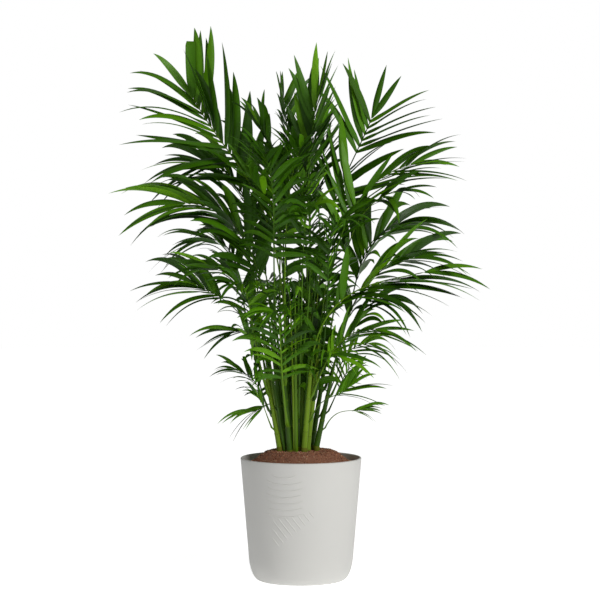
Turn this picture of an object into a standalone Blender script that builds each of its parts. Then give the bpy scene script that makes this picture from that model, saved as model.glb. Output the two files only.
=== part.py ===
"""Potted cat palm: a clump of slender stems in a plain tapered pot, under a full crown of feather fronds.

Metres, +Z up, -Y towards the viewer. The origin is the centre of the pot's flat underside.
"""

import math
import random
from collections import namedtuple

import bmesh
import bpy
from mathutils import Quaternion, Vector
from mathutils.bvhtree import BVHTree
from mathutils.geometry import interpolate_bezier

COLLECTION = "potted_cat_palm"
UP = Vector((0.0, 0.0, 1.0))
GAP = 0.0003

# Pot
POT_HEIGHT = 0.252
POT_RIM_RADIUS = 0.125
POT_TAPER = 0.083
POT_WALL = 0.0045
POT_FLOOR = 0.012
POT_FOOT_RISE = 0.045
POT_FOOT_INSET = 0.016
POT_FOOT_STEPS = 5
POT_STEPS = 40
MERGE = 0.00001

# Soil, heaped up round the stems
SOIL_TOP = 0.266
SOIL_PLATEAU_RADIUS = 0.060
SOIL_BELOW_RIM = 0.016
SOIL_SLOPE_SHARES = (0.3, 0.6, 0.85)

# Stems, set out like the seeds of a sunflower and splayed from a point under the soil
STEM_COUNT = 14
CLUMP_CENTRE = Vector((-0.009, 0.0, 0.0))
CLUMP_RADIUS = 0.043
SPLAY = 5.2
STEM_RADIUS = 0.0062
STEM_TIP_RADIUS = 0.0036
STEM_TALLEST = 0.30
STEM_SHORTEST = 0.15
STEM_JOINTS = 6
STEM_UPRIGHT_FOOT = 0.010
GOLDEN_ANGLE = math.pi * (3.0 - math.sqrt(5.0))

# Fronds
LEAVING_ANGLE = math.radians(13.0)
LEAVING_SPAN = 0.9
ROOT_OFFSET = 0.0040
START_HANDLE = 0.60
END_HANDLE = 0.30
STALK_WIDTH = 0.0050
STALK_WIDTH_SMALLEST = 0.0022
STALK_WIDTH_PER_BLADE = 0.018
RIB_TIP_SHARE = 0.5
RIB_STEPS = 80
STALK_LEAST_SHARE = 0.15
STALK_STEPS = 6
NUDGES = 40
NUDGE_STEP = 0.0015

# Leaflets, as shares of the frond's longest, in degrees, and in the range that chance picks from
LEAFLET_THICKNESS_SHARE = 0.0115
LEAFLET_THINNEST = 0.0011
LEAFLET_WIDTH_SHARE = 0.12
LEAFLET_STATIONS = ((0.34, 1.0), (0.70, 0.72))
LEAFLET_FOOT_SHARE = 0.62
LEAFLET_END_SHARE = 0.80
LENGTH_RANGE = (0.9, 1.0)
ANGLE_RANGE = (-5.0, 5.0)
ANGLE_LEAST = 8.0
LIFT_RANGE = (4.0, 22.0)
FALL_RANGE = (0.7, 1.3)
FALL_SHORTENS = 0.25
TWIST_RANGE = (25.2, 42.0)
TESTED_FROM = 0.16
CLEARANCE = 0.0010
TRIES = 8
TRY_STEP = 7.0
TRY_SHRINK = 0.03
SEED = 11

# A frond's rib ends at tip and points up there by nod degrees. blade is the length that bears leaflets,
# leaflet the longest of them. They make the angle spread with the rib at its foot and close at its tip. roll
# turns the blade round its rib, and droop is how far a leaflet falls for its length.
Frond = namedtuple("Frond", "stem tip nod blade leaflet pairs spread close roll droop")

# The fronds that draw the outline seen from the front, from the top of the crown down
OUTLINE_FRONDS = [
    Frond(1, (-0.220, -0.02, 0.990), 62, 0.225, 0.258, 8, 42, 36, -80, 0.10),
    Frond(0, (-0.037, -0.05, 0.985), 80, 0.210, 0.140, 8, 65, 36, -70, 0.10),
    Frond(2, (0.032, -0.09, 0.985), 76, 0.250, 0.185, 8, 66, 30, 85, 0.04),
    Frond(3, (0.146, 0.02, 0.952), 68, 0.220, 0.210, 8, 60, 46, 80, 0.06),
    Frond(5, (0.224, -0.03, 0.855), 18, 0.220, 0.190, 8, 46, 18, 60, 0.14),
    Frond(4, (-0.236, -0.04, 0.775), -2, 0.240, 0.235, 8, 42, 18, -60, 0.26),
    Frond(9, (-0.205, 0.06, 0.862), 10, 0.220, 0.205, 8, 45, 18, -50, 0.20),
    Frond(8, (0.196, -0.08, 0.800), 12, 0.200, 0.150, 7, 46, 22, 40, 0.25),
    Frond(8, (0.196, 0.06, 0.730), 22, 0.150, 0.240, 5, 38, 22, 25, 0.28),
    Frond(9, (-0.205, 0.05, 0.702), -5, 0.200, 0.160, 7, 45, 20, -50, 0.35),
    Frond(13, (0.225, -0.02, 0.665), 12, 0.190, 0.210, 7, 38, 20, 30, 0.25),
    Frond(12, (-0.190, -0.08, 0.645), 0, 0.160, 0.140, 6, 45, 22, -40, 0.25),
    Frond(10, (0.250, -0.07, 0.635), 14, 0.200, 0.225, 7, 36, 16, 45, 0.18),
    Frond(4, (-0.214, -0.01, 0.608), 25, 0.060, 0.195, 3, 38, 18, -60, 0.26),
    Frond(13, (0.171, -0.03, 0.585), 0, 0.100, 0.160, 4, 45, 22, 60, 0.50),
    Frond(12, (-0.135, -0.06, 0.515), -15, 0.110, 0.125, 5, 50, 25, -30, 0.25),
    Frond(10, (0.150, -0.07, 0.520), 0, 0.120, 0.150, 5, 45, 22, 50, 0.20),
    Frond(8, (0.140, 0.05, 0.484), 0, 0.075, 0.120, 3, 50, 25, 50, 0.40),
    Frond(13, (0.101, -0.01, 0.439), 55, 0.050, 0.070, 3, 60, 30, 60, 0.30),
    Frond(9, (-0.130, 0.02, 0.430), 20, 0.080, 0.105, 4, 50, 25, -40, 0.30),
    Frond(10, (0.095, -0.06, 0.400), 50, 0.030, 0.130, 2, 45, 25, 60, 0.15),
    Frond(12, (-0.085, -0.04, 0.385), 40, 0.040, 0.080, 3, 50, 25, -20, 0.20),
    Frond(13, (0.125, -0.03, 0.354), 20, 0.020, 0.080, 2, 40, 22, 30, 0.25),
    Frond(4, (-0.100, -0.02, 0.348), 5, 0.030, 0.090, 2, 45, 25, -20, 0.30),
]

# Fronds that fill the crown in front and behind: how many, the height, reach and nod of a rib's tip,
# then the blade, the leaflet and the pairs
Tier = namedtuple("Tier", "count height reach nod blade leaflet pairs droop")
FILLING_TIERS = [
    Tier(4, 0.93, 0.11, 55, 0.23, 0.140, 9, 0.12),
    Tier(5, 0.86, 0.19, 32, 0.23, 0.160, 9, 0.20),
    Tier(5, 0.73, 0.18, 12, 0.22, 0.150, 8, 0.30),
    Tier(4, 0.59, 0.19, 0, 0.19, 0.130, 7, 0.35),
    Tier(2, 0.47, 0.14, -8, 0.13, 0.100, 5, 0.35),
]
CROWDING = 0.6
FILLING_SPREAD = math.radians(46.0)
FILLING_REACH_RANGE = (0.85, 1.1)
FILLING_HEIGHT_RANGE = (-0.035, 0.035)
FILLING_ROLL = 18.0
FILLING_LEAFLET_SPREAD = 60
FILLING_LEAFLET_CLOSE = 30

# Colour, roughness, metallic
POT_LOOK = ((0.74, 0.73, 0.70), 0.55, 0.0)
SOIL_LOOK = ((0.16, 0.075, 0.045), 0.95, 0.0)
STEM_LOOK = ((0.16, 0.30, 0.05), 0.45, 0.0)
FROND_LOOK = ((0.04, 0.13, 0.02), 0.40, 0.0)


def clear_scene():
    for thing in list(bpy.data.objects):
        bpy.data.objects.remove(thing, do_unlink=True)


def new_collection():
    collection = bpy.data.collections.new(COLLECTION)
    bpy.context.scene.collection.children.link(collection)
    return collection


def material(name, look):
    colour, roughness, metallic = look
    made = bpy.data.materials.new(name)
    made.use_nodes = True
    shader = made.node_tree.nodes["Principled BSDF"]
    shader.inputs["Base Color"].default_value = (*colour, 1.0)
    shader.inputs["Roughness"].default_value = roughness
    shader.inputs["Metallic"].default_value = metallic
    return made


def add_object(name, data, collection, finish):
    made = bpy.data.objects.new(name, data)
    data.materials.append(finish)
    collection.objects.link(made)
    return made


def turned(name, profile, steps, collection, finish):
    """A profile of (radius, height) points, spun about Z."""
    mesh = bpy.data.meshes.new(name)
    points = [(radius, 0.0, height) for radius, height in profile]
    edges = [(i, i + 1) for i in range(len(points) - 1)]
    mesh.from_pydata(points, edges, [])
    made = add_object(name, mesh, collection, finish)
    screw = made.modifiers.new("Screw", "SCREW")
    screw.axis = "Z"
    screw.steps = steps
    screw.render_steps = steps
    screw.use_merge_vertices = True
    screw.merge_threshold = MERGE
    screw.use_smooth_shade = True
    return made


def pot_radius(height):
    """Outer radius of the pot's straight taper, pulled in over the rounded foot."""
    radius = POT_RIM_RADIUS - POT_TAPER * (POT_HEIGHT - height)
    if height < POT_FOOT_RISE:
        turn = (POT_FOOT_RISE - height) / POT_FOOT_RISE
        radius -= POT_FOOT_INSET * (1.0 - math.sqrt(1.0 - turn * turn))
    return radius


def foot_heights():
    """Heights down the rounded foot, closer together towards the floor."""
    turns = [math.sin(math.radians(90.0 * i / POT_FOOT_STEPS)) for i in range(POT_FOOT_STEPS + 1)]
    return [POT_FOOT_RISE * (1.0 - turn) for turn in turns]


def build_pot(collection):
    """Inside floor, up the inner wall, over the lip, down the outer wall and round the foot to the axis."""
    lip = POT_WALL / 3.0
    shoulder = POT_HEIGHT - lip
    profile = [(0.0, POT_FLOOR), (pot_radius(POT_FLOOR) - POT_WALL, POT_FLOOR)]
    profile += [(pot_radius(height) - POT_WALL, height) for height in (POT_FOOT_RISE, shoulder)]
    profile += [(POT_RIM_RADIUS - POT_WALL + lip, POT_HEIGHT), (POT_RIM_RADIUS - lip, POT_HEIGHT)]
    profile += [(pot_radius(height), height) for height in [shoulder] + foot_heights()]
    profile.append((0.0, 0.0))
    return turned("pot", profile, POT_STEPS, collection, material("pot_shell", POT_LOOK))


def build_soil(collection):
    """A plug just clear of the pot's wall, flat where the stems stand and falling to the rim."""
    edge_height = POT_HEIGHT - SOIL_BELOW_RIM
    edge_radius = pot_radius(edge_height) - POT_WALL - GAP
    bottom = POT_FLOOR + GAP
    profile = [(0.0, SOIL_TOP), (SOIL_PLATEAU_RADIUS, SOIL_TOP)]
    for share in SOIL_SLOPE_SHARES:
        fall = 0.5 - 0.5 * math.cos(math.pi * share)
        radius = SOIL_PLATEAU_RADIUS + share * (edge_radius - SOIL_PLATEAU_RADIUS)
        profile.append((radius, SOIL_TOP + fall * (edge_height - SOIL_TOP)))
    profile.append((edge_radius, edge_height))
    profile.append((pot_radius(POT_FOOT_RISE) - POT_WALL - GAP, POT_FOOT_RISE))
    profile.append((pot_radius(POT_FLOOR) - POT_WALL - GAP, bottom))
    profile.append((0.0, bottom))
    return turned("potting_soil", profile, POT_STEPS, collection, material("coir_soil", SOIL_LOOK))


class Stem:
    """One cane: where it stands, how tall it is, and how it tapers."""

    def __init__(self, number):
        distance = CLUMP_RADIUS * math.sqrt((number + 0.5) / STEM_COUNT)
        self.azimuth = number * GOLDEN_ANGLE
        self.foot = Vector((math.cos(self.azimuth), math.sin(self.azimuth), 0.0)) * distance
        self.height = STEM_TALLEST + (STEM_SHORTEST - STEM_TALLEST) * distance / CLUMP_RADIUS
        self.direction = (self.foot * SPLAY + UP).normalized()

    def point(self, height):
        """The cane's axis: upright where it is cut off flat at the soil, then splayed."""
        ground = CLUMP_CENTRE + UP * (SOIL_TOP + GAP)
        return ground + self.foot * (1.0 + SPLAY * max(height - STEM_UPRIGHT_FOOT, 0.0)) + UP * height

    def radius(self, height):
        return STEM_RADIUS + (STEM_TIP_RADIUS - STEM_RADIUS) * height / self.height


def build_stem(name, stem, collection, finish):
    curve = bpy.data.curves.new(name, "CURVE")
    curve.dimensions = "3D"
    curve.bevel_depth = STEM_RADIUS
    curve.bevel_resolution = 1
    curve.use_fill_caps = True
    spline = curve.splines.new("POLY")
    rise = stem.height - STEM_UPRIGHT_FOOT
    heights = [0.0] + [STEM_UPRIGHT_FOOT + rise * i / STEM_JOINTS for i in range(STEM_JOINTS + 1)]
    spline.points.add(len(heights) - 1)
    for knot, height in zip(spline.points, heights):
        knot.co = (*stem.point(height), 1.0)
        knot.radius = stem.radius(height) / STEM_RADIUS
    return add_object(name, curve, collection, finish)


def evaluated_surface(thing):
    """World-space points and faces of a curve or mesh object."""
    graph = bpy.context.evaluated_depsgraph_get()
    mesh = bpy.data.meshes.new_from_object(thing.evaluated_get(graph))
    points = [thing.matrix_world @ vertex.co for vertex in mesh.vertices]
    faces = [tuple(face.vertices) for face in mesh.polygons]
    bpy.data.meshes.remove(mesh)
    return points, faces


class Space:
    """What has been placed so far, so that a new piece can be kept clear of it."""

    def __init__(self):
        self.placed = []

    @staticmethod
    def bounds(points):
        lows = [min(point[axis] for point in points) for axis in range(3)]
        highs = [max(point[axis] for point in points) for axis in range(3)]
        return lows, highs

    def touches(self, points, faces, owner=None):
        """Whether a skin meets anything placed, but for what its own frond has placed."""
        lows, highs = self.bounds(points)
        tree = None
        for placed_by, other_lows, other_highs, other in self.placed:
            if owner and placed_by == owner:
                continue
            if any(lows[a] > other_highs[a] or highs[a] < other_lows[a] for a in range(3)):
                continue
            tree = tree or BVHTree.FromPolygons(points, faces)
            if tree.overlap(other):
                return True
        return False

    def add(self, points, faces, owner=None):
        self.placed.append((owner, *self.bounds(points), BVHTree.FromPolygons(points, faces)))


def loft(sections):
    """A closed skin over cross-sections of equal point count."""
    count = len(sections[0])
    points = [point for section in sections for point in section]
    faces = [tuple(range(count))[::-1]]
    for row in range(len(sections) - 1):
        base = row * count
        for i in range(count):
            j = (i + 1) % count
            faces.append((base + i, base + j, base + count + j, base + count + i))
    faces.append(tuple(range(len(points) - count, len(points))))
    return points, faces


def slab(rows):
    """A closed skin round rows of (left, right, normal, thickness), fatter by the clearance."""
    sections = []
    for left, right, normal, thickness in rows:
        lift = normal * (thickness / 2.0 + CLEARANCE)
        aside = (right - left).normalized() * CLEARANCE
        left, right = left - aside, right + aside
        sections.append([left - lift, right - lift, right + lift, left + lift])
    return loft(sections)


class Rib:
    """A frond's stalk and rib: a curve that rises with its stem, then arches over to the frond's tip."""

    def __init__(self, frond, stem, leaves):
        outward = Vector(frond.tip) - stem.point(leaves)
        azimuth = Vector((outward.x, outward.y, 0.0)).normalized()
        aside = UP.cross(azimuth)
        if leaves >= stem.height:
            start = stem.point(stem.height) + stem.direction * GAP
            heading = stem.direction
        else:
            lean = (azimuth - stem.direction * azimuth.dot(stem.direction)).normalized()
            start = stem.point(leaves) + lean * (stem.radius(leaves) + ROOT_OFFSET)
            axis = stem.direction.cross(lean)
            heading = Quaternion(axis, LEAVING_ANGLE) @ stem.direction
        nod = math.radians(frond.nod)
        ending = azimuth * math.cos(nod) + UP * math.sin(nod)
        tip = Vector(frond.tip)
        reach = (tip - start).length
        handle_start = start + heading * reach * START_HANDLE
        handle_end = tip - ending * reach * END_HANDLE
        self.course = interpolate_bezier(start, handle_start, handle_end, tip, RIB_STEPS)
        self.run = [0.0]
        for before, after in zip(self.course, self.course[1:]):
            self.run.append(self.run[-1] + (after - before).length)
        self.length = self.run[-1]
        self.blade_start = max(self.length - frond.blade, STALK_LEAST_SHARE * self.length)
        self.roll = math.radians(frond.roll)
        self.aside = aside
        smallest = STALK_WIDTH_SMALLEST + STALK_WIDTH_PER_BLADE * frond.blade
        self.root_width = min(STALK_WIDTH, smallest)

    def at(self, distance):
        """Point and direction of the rib at a distance along it."""
        i = 1
        while i < len(self.run) - 1 and self.run[i] < distance:
            i += 1
        share = (distance - self.run[i - 1]) / (self.run[i] - self.run[i - 1])
        before, after = self.course[i - 1], self.course[i]
        return before.lerp(after, share), (after - before).normalized()

    def width(self, distance):
        return self.root_width * (1.0 + (RIB_TIP_SHARE - 1.0) * distance / self.length)

    def frame(self, distance):
        """Point, direction, the blade's sideways axis and its upper normal."""
        point, along = self.at(distance)
        aside = (self.aside - along * self.aside.dot(along)).normalized()
        turn = self.roll * min(distance / self.blade_start, 1.0)
        aside = Quaternion(along, turn) @ aside
        return point, along, aside, along.cross(aside)

    def stations(self, pairs):
        """Distances of the cross-sections: along the bare stalk, then one at each pair of leaflets."""
        stalk = [self.blade_start * i / STALK_STEPS for i in range(STALK_STEPS)]
        pitch = (self.length - self.blade_start) / pairs
        return stalk + [self.blade_start + pitch * i for i in range(pairs + 1)]

    def row(self, distance):
        point, along, aside, normal = self.frame(distance)
        half = aside * self.width(distance) / 2.0
        return point - half, point + half, normal, self.width(distance)

    def skin(self, pairs):
        return slab([self.row(distance) for distance in self.stations(pairs)])


class Leaflet:
    """One leaflet: a tapering blade whose foot is a stretch of the rib's edge."""

    def __init__(self, rib, frond, number, side, chance, try_number):
        pitch = (rib.length - rib.blade_start) / frond.pairs
        share = (number + 0.5) / frond.pairs
        near, far = rib.blade_start + pitch * number, rib.blade_start + pitch * (number + 1)
        self.near = rib.row(near)[side]
        self.far = rib.row(far)[side]
        _, along, aside, normal = rib.frame((near + far) / 2.0)
        outward = aside if side else -aside
        least = LEAFLET_FOOT_SHARE if share < 0.5 else LEAFLET_END_SHARE
        self.length = frond.leaflet * (1.0 - (1.0 - least) * (2.0 * share - 1.0) ** 2)
        self.length *= chance.uniform(*LENGTH_RANGE) * (1.0 - TRY_SHRINK * try_number)
        angle = frond.spread + (frond.close - frond.spread) * share + chance.uniform(*ANGLE_RANGE)
        angle += TRY_STEP * (try_number + 1) // 2 * (1.0 if try_number % 2 else -1.0)
        angle = math.radians(max(angle, ANGLE_LEAST))
        lift = math.radians(chance.uniform(*LIFT_RANGE))
        heading = along * math.cos(angle) + outward * math.sin(angle)
        heading = (heading * math.cos(lift) + normal * math.sin(lift)).normalized()
        self.heading = heading
        self.fall = frond.droop * chance.uniform(*FALL_RANGE)
        crossing = (along - heading * along.dot(heading)).normalized()
        twist = math.radians(chance.uniform(*TWIST_RANGE))
        self.crossing = Quaternion(heading, twist if side else -twist) @ crossing
        self.width = frond.leaflet * LEAFLET_WIDTH_SHARE
        self.thickness = max(LEAFLET_THINNEST, frond.leaflet * LEAFLET_THICKNESS_SHARE)
        self.root_thickness = rib.width(near)

    def centre(self, share):
        """A point along the leaflet, which falls away from its heading as it goes out."""
        middle = (self.near + self.far) / 2.0
        reach = self.length * share
        fallen = self.fall * share
        return middle + self.heading * reach * (1.0 - FALL_SHORTENS * fallen) - UP * reach * fallen

    def rows(self):
        """The near and far edge at each station between foot and tip."""
        halves = [(share, self.crossing * self.width * full / 2.0) for share, full in LEAFLET_STATIONS]
        return [(self.centre(share) - half, self.centre(share) + half) for share, half in halves]

    def skin(self, start):
        """The leaflet's closed skin from a share of its length outwards, for the clearance test."""
        rows = self.rows()
        blend = start / LEAFLET_STATIONS[0][0]
        root = self.near.lerp(rows[0][0], blend), self.far.lerp(rows[0][1], blend)
        half = self.crossing * self.thickness / 2.0
        edges = [root, *rows, (self.centre(1.0) - half, self.centre(1.0) + half)]
        normal = self.heading.cross(self.crossing)
        thick = self.root_thickness + (self.thickness - self.root_thickness) * blend
        depths = [thick] + [self.thickness] * (len(edges) - 1)
        return slab([(near, far, normal, depth) for (near, far), depth in zip(edges, depths)])


def place_rib(frond, stem, leaves, space, chance):
    """The frond's rib, nudged aside until its stalk and rib are clear of all that stands."""
    for nudge in range(NUDGES):
        reach = NUDGE_STEP * nudge
        shift = Vector([chance.uniform(-reach, reach) for _ in range(3)])
        moved = frond._replace(tip=tuple(Vector(frond.tip) + shift))
        rib = Rib(moved, stem, leaves)
        points, faces = rib.skin(frond.pairs)
        if not space.touches(points, faces):
            space.add(points, faces, frond)
            return rib
    return None


def place_leaflets(frond, rib, space, chance):
    """Leaflets in pairs up the rib, each in its slot or left out where it would touch."""
    found = {}
    for number in range(frond.pairs):
        for side in (0, 1):
            for try_number in range(TRIES):
                leaflet = Leaflet(rib, frond, number, side, chance, try_number)
                whole, outer = leaflet.skin(0.0), leaflet.skin(TESTED_FROM)
                if not space.touches(*outer) and not space.touches(*whole, frond):
                    space.add(*whole, frond)
                    found[number, side] = leaflet
                    break
    return found


def add_face(sheet, corners, right_side):
    """A face whose corners are listed for the left side of the rib, turned over for the right."""
    sheet.faces.new(corners[::-1] if right_side else corners)


def build_frond(name, frond, rib, leaflets, collection, finish):
    """An open sheet of rib and leaflets, thickened: full at the stalk, thin at the leaflets."""
    sheet = bmesh.new()
    thickness = {}
    edges = []
    for distance in rib.stations(frond.pairs):
        left, right, _, width = rib.row(distance)
        pair = sheet.verts.new(left), sheet.verts.new(right)
        for vertex in pair:
            thickness[vertex] = width
        edges.append(pair)
    for before, after in zip(edges, edges[1:]):
        sheet.faces.new((before[0], before[1], after[1], after[0]))
    for (number, side), leaflet in leaflets.items():
        near, far = edges[STALK_STEPS + number][side], edges[STALK_STEPS + number + 1][side]
        for row in leaflet.rows():
            wide = [sheet.verts.new(point) for point in row]
            thickness.update(dict.fromkeys(wide, leaflet.thickness))
            add_face(sheet, (near, far, wide[1], wide[0]), side)
            near, far = wide
        tip = sheet.verts.new(leaflet.centre(1.0))
        thickness[tip] = leaflet.thickness
        add_face(sheet, (near, far, tip), side)
    weights = [thickness[vertex] / STALK_WIDTH for vertex in sheet.verts]
    bmesh.ops.triangulate(sheet, faces=sheet.faces[:])
    mesh = bpy.data.meshes.new(name)
    sheet.to_mesh(mesh)
    sheet.free()
    made = add_object(name, mesh, collection, finish)
    group = made.vertex_groups.new(name="thickness")
    for index, weight in enumerate(weights):
        group.add([index], weight, "REPLACE")
    solidify = made.modifiers.new("Solidify", "SOLIDIFY")
    solidify.thickness = STALK_WIDTH
    solidify.offset = 0.0
    solidify.vertex_group = group.name
    return made


def filling_fronds(chance):
    """Fronds for the front and back of the crown, in tiers, turn about."""
    made = []
    for tier in FILLING_TIERS:
        for number in range(tier.count):
            facing = math.pi / 2.0 if len(made) % 2 else -math.pi / 2.0
            share = (len(made) * GOLDEN_ANGLE / math.tau) % 1.0
            azimuth = facing + FILLING_SPREAD * (2.0 * share - 1.0)
            reach = tier.reach * chance.uniform(*FILLING_REACH_RANGE)
            tip = (
                CLUMP_CENTRE.x + reach * math.cos(azimuth),
                reach * math.sin(azimuth),
                tier.height + chance.uniform(*FILLING_HEIGHT_RANGE),
            )
            roll = chance.uniform(-FILLING_ROLL, FILLING_ROLL)
            angles = FILLING_LEAFLET_SPREAD, FILLING_LEAFLET_CLOSE, roll
            frond = Frond(None, tip, tier.nod, tier.blade, tier.leaflet, tier.pairs, *angles, tier.droop)
            made.append((azimuth, frond))
    return made


def share_out(fronds, stems):
    """Each filling frond goes to the stem that best faces its way and bears the fewest so far."""
    borne = {number: 0 for number in range(len(stems))}
    for frond in OUTLINE_FRONDS:
        borne[frond.stem] += 1
    shared = list(OUTLINE_FRONDS)
    for azimuth, frond in fronds:
        def cost(number):
            apart = abs((stems[number].azimuth - azimuth + math.pi) % math.tau - math.pi)
            return apart + CROWDING * borne[number]
        stem = min(borne, key=cost)
        borne[stem] += 1
        shared.append(frond._replace(stem=stem))
    return shared


def leaving_heights(fronds, stems):
    """The highest frond of a stem ends it, and the lower ones leave it in turn below."""
    heights = {}
    for number, stem in enumerate(stems):
        own = sorted((f for f in fronds if f.stem == number), key=lambda f: -f.tip[2])
        for rank, frond in enumerate(own):
            heights[frond] = stem.height * (1.0 - LEAVING_SPAN * rank / max(len(own), 1))
    return heights


def main():
    chance = random.Random(SEED)
    clear_scene()
    collection = new_collection()
    build_pot(collection)
    build_soil(collection)
    space = Space()
    stems = [Stem(number) for number in range(STEM_COUNT)]
    stem_finish = material("stem_green", STEM_LOOK)
    frond_finish = material("frond_green", FROND_LOOK)
    for number, stem in enumerate(stems):
        made = build_stem(f"stem_{number + 1:02d}", stem, collection, stem_finish)
        bpy.context.view_layer.update()
        space.add(*evaluated_surface(made))
    fronds = share_out(filling_fronds(chance), stems)
    heights = leaving_heights(fronds, stems)
    ribs = {}
    for frond in fronds:
        rib = place_rib(frond, stems[frond.stem], heights[frond], space, chance)
        if rib:
            ribs[frond] = rib
    for number, (frond, rib) in enumerate(ribs.items()):
        leaflets = place_leaflets(frond, rib, space, chance)
        build_frond(f"frond_{number + 1:02d}", frond, rib, leaflets, collection, frond_finish)


if __name__ == "__main__":
    main()
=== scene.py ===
"""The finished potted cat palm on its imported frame: relief-lined pot, coir, ringed canes and feather fronds.

Laid out as an add-on: each piece has its settings and its operator. Metres, +Z up, -Y towards the viewer.
"""

import math
import random
from collections import namedtuple

import bpy
import numpy as np
from bpy.props import FloatProperty, FloatVectorProperty, IntProperty, PointerProperty
from bpy.types import Operator, Panel, PropertyGroup
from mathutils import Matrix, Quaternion, Vector
from mathutils.bvhtree import BVHTree
from mathutils.geometry import interpolate_bezier


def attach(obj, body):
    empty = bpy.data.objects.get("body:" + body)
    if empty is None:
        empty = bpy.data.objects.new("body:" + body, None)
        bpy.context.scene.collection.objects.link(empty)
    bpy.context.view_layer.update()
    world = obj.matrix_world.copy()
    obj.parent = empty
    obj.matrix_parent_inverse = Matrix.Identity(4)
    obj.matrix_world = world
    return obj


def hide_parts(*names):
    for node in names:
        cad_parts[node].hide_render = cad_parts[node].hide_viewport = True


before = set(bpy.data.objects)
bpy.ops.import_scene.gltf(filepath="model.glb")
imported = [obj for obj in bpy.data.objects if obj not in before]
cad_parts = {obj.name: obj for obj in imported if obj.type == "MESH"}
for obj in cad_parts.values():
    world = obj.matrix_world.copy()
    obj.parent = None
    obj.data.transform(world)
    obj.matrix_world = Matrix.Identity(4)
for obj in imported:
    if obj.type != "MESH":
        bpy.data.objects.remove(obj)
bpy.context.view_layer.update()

bl_info = {
    "name": "Potted Palm",
    "version": (1, 0, 0),
    "blender": (4, 5, 0),
    "location": "3D Viewport > Sidebar > Palm",
    "description": "Grows a clump palm in a tapered pot, piece by piece",
    "category": "Add Mesh",
}

BODY = "root"

# The plant's rule and sizes, as in the solids
UP = Vector((0.0, 0.0, 1.0))
GAP = 0.0003

# Pot
POT_HEIGHT = 0.252
POT_RIM_RADIUS = 0.125
POT_TAPER = 0.083
POT_WALL = 0.0045
POT_FLOOR = 0.012
POT_FOOT_RISE = 0.045
POT_FOOT_INSET = 0.016
MERGE = 0.00001

# Soil, heaped up round the stems
SOIL_TOP = 0.266
SOIL_PLATEAU_RADIUS = 0.060
SOIL_BELOW_RIM = 0.016

# Stems, set out like the seeds of a sunflower and splayed from a point under the soil
STEM_COUNT = 14
CLUMP_CENTRE = Vector((-0.009, 0.0, 0.0))
CLUMP_RADIUS = 0.043
SPLAY = 5.2
STEM_RADIUS = 0.0062
STEM_TIP_RADIUS = 0.0036
STEM_TALLEST = 0.30
STEM_SHORTEST = 0.15
STEM_JOINTS = 6
STEM_UPRIGHT_FOOT = 0.010
GOLDEN_ANGLE = math.pi * (3.0 - math.sqrt(5.0))

# Fronds
LEAVING_ANGLE = math.radians(13.0)
LEAVING_SPAN = 0.9
ROOT_OFFSET = 0.0040
START_HANDLE = 0.60
END_HANDLE = 0.30
STALK_WIDTH = 0.0050
STALK_WIDTH_SMALLEST = 0.0022
STALK_WIDTH_PER_BLADE = 0.018
RIB_TIP_SHARE = 0.5
RIB_STEPS = 80
STALK_LEAST_SHARE = 0.15
STALK_STEPS = 6
NUDGES = 40
NUDGE_STEP = 0.0015

# Leaflets, as shares of the frond's longest, in degrees, and in the range that chance picks from
LEAFLET_THICKNESS_SHARE = 0.0115
LEAFLET_THINNEST = 0.0011
LEAFLET_WIDTH_SHARE = 0.12
LEAFLET_STATIONS = ((0.34, 1.0), (0.70, 0.72))
LEAFLET_FOOT_SHARE = 0.62
LEAFLET_END_SHARE = 0.80
LENGTH_RANGE = (0.9, 1.0)
ANGLE_RANGE = (-5.0, 5.0)
ANGLE_LEAST = 8.0
LIFT_RANGE = (4.0, 22.0)
FALL_RANGE = (0.7, 1.3)
FALL_SHORTENS = 0.25
TWIST_RANGE = (25.2, 42.0)
TESTED_FROM = 0.16
CLEARANCE = 0.0010
TRIES = 8
TRY_STEP = 7.0
TRY_SHRINK = 0.03
SEED = 11

# A frond's rib ends at tip and points up there by nod degrees. blade is the length that bears leaflets,
# leaflet the longest of them. They make the angle spread with the rib at its foot and close at its tip. roll
# turns the blade round its rib, and droop is how far a leaflet falls for its length.
Frond = namedtuple("Frond", "stem tip nod blade leaflet pairs spread close roll droop")

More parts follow.
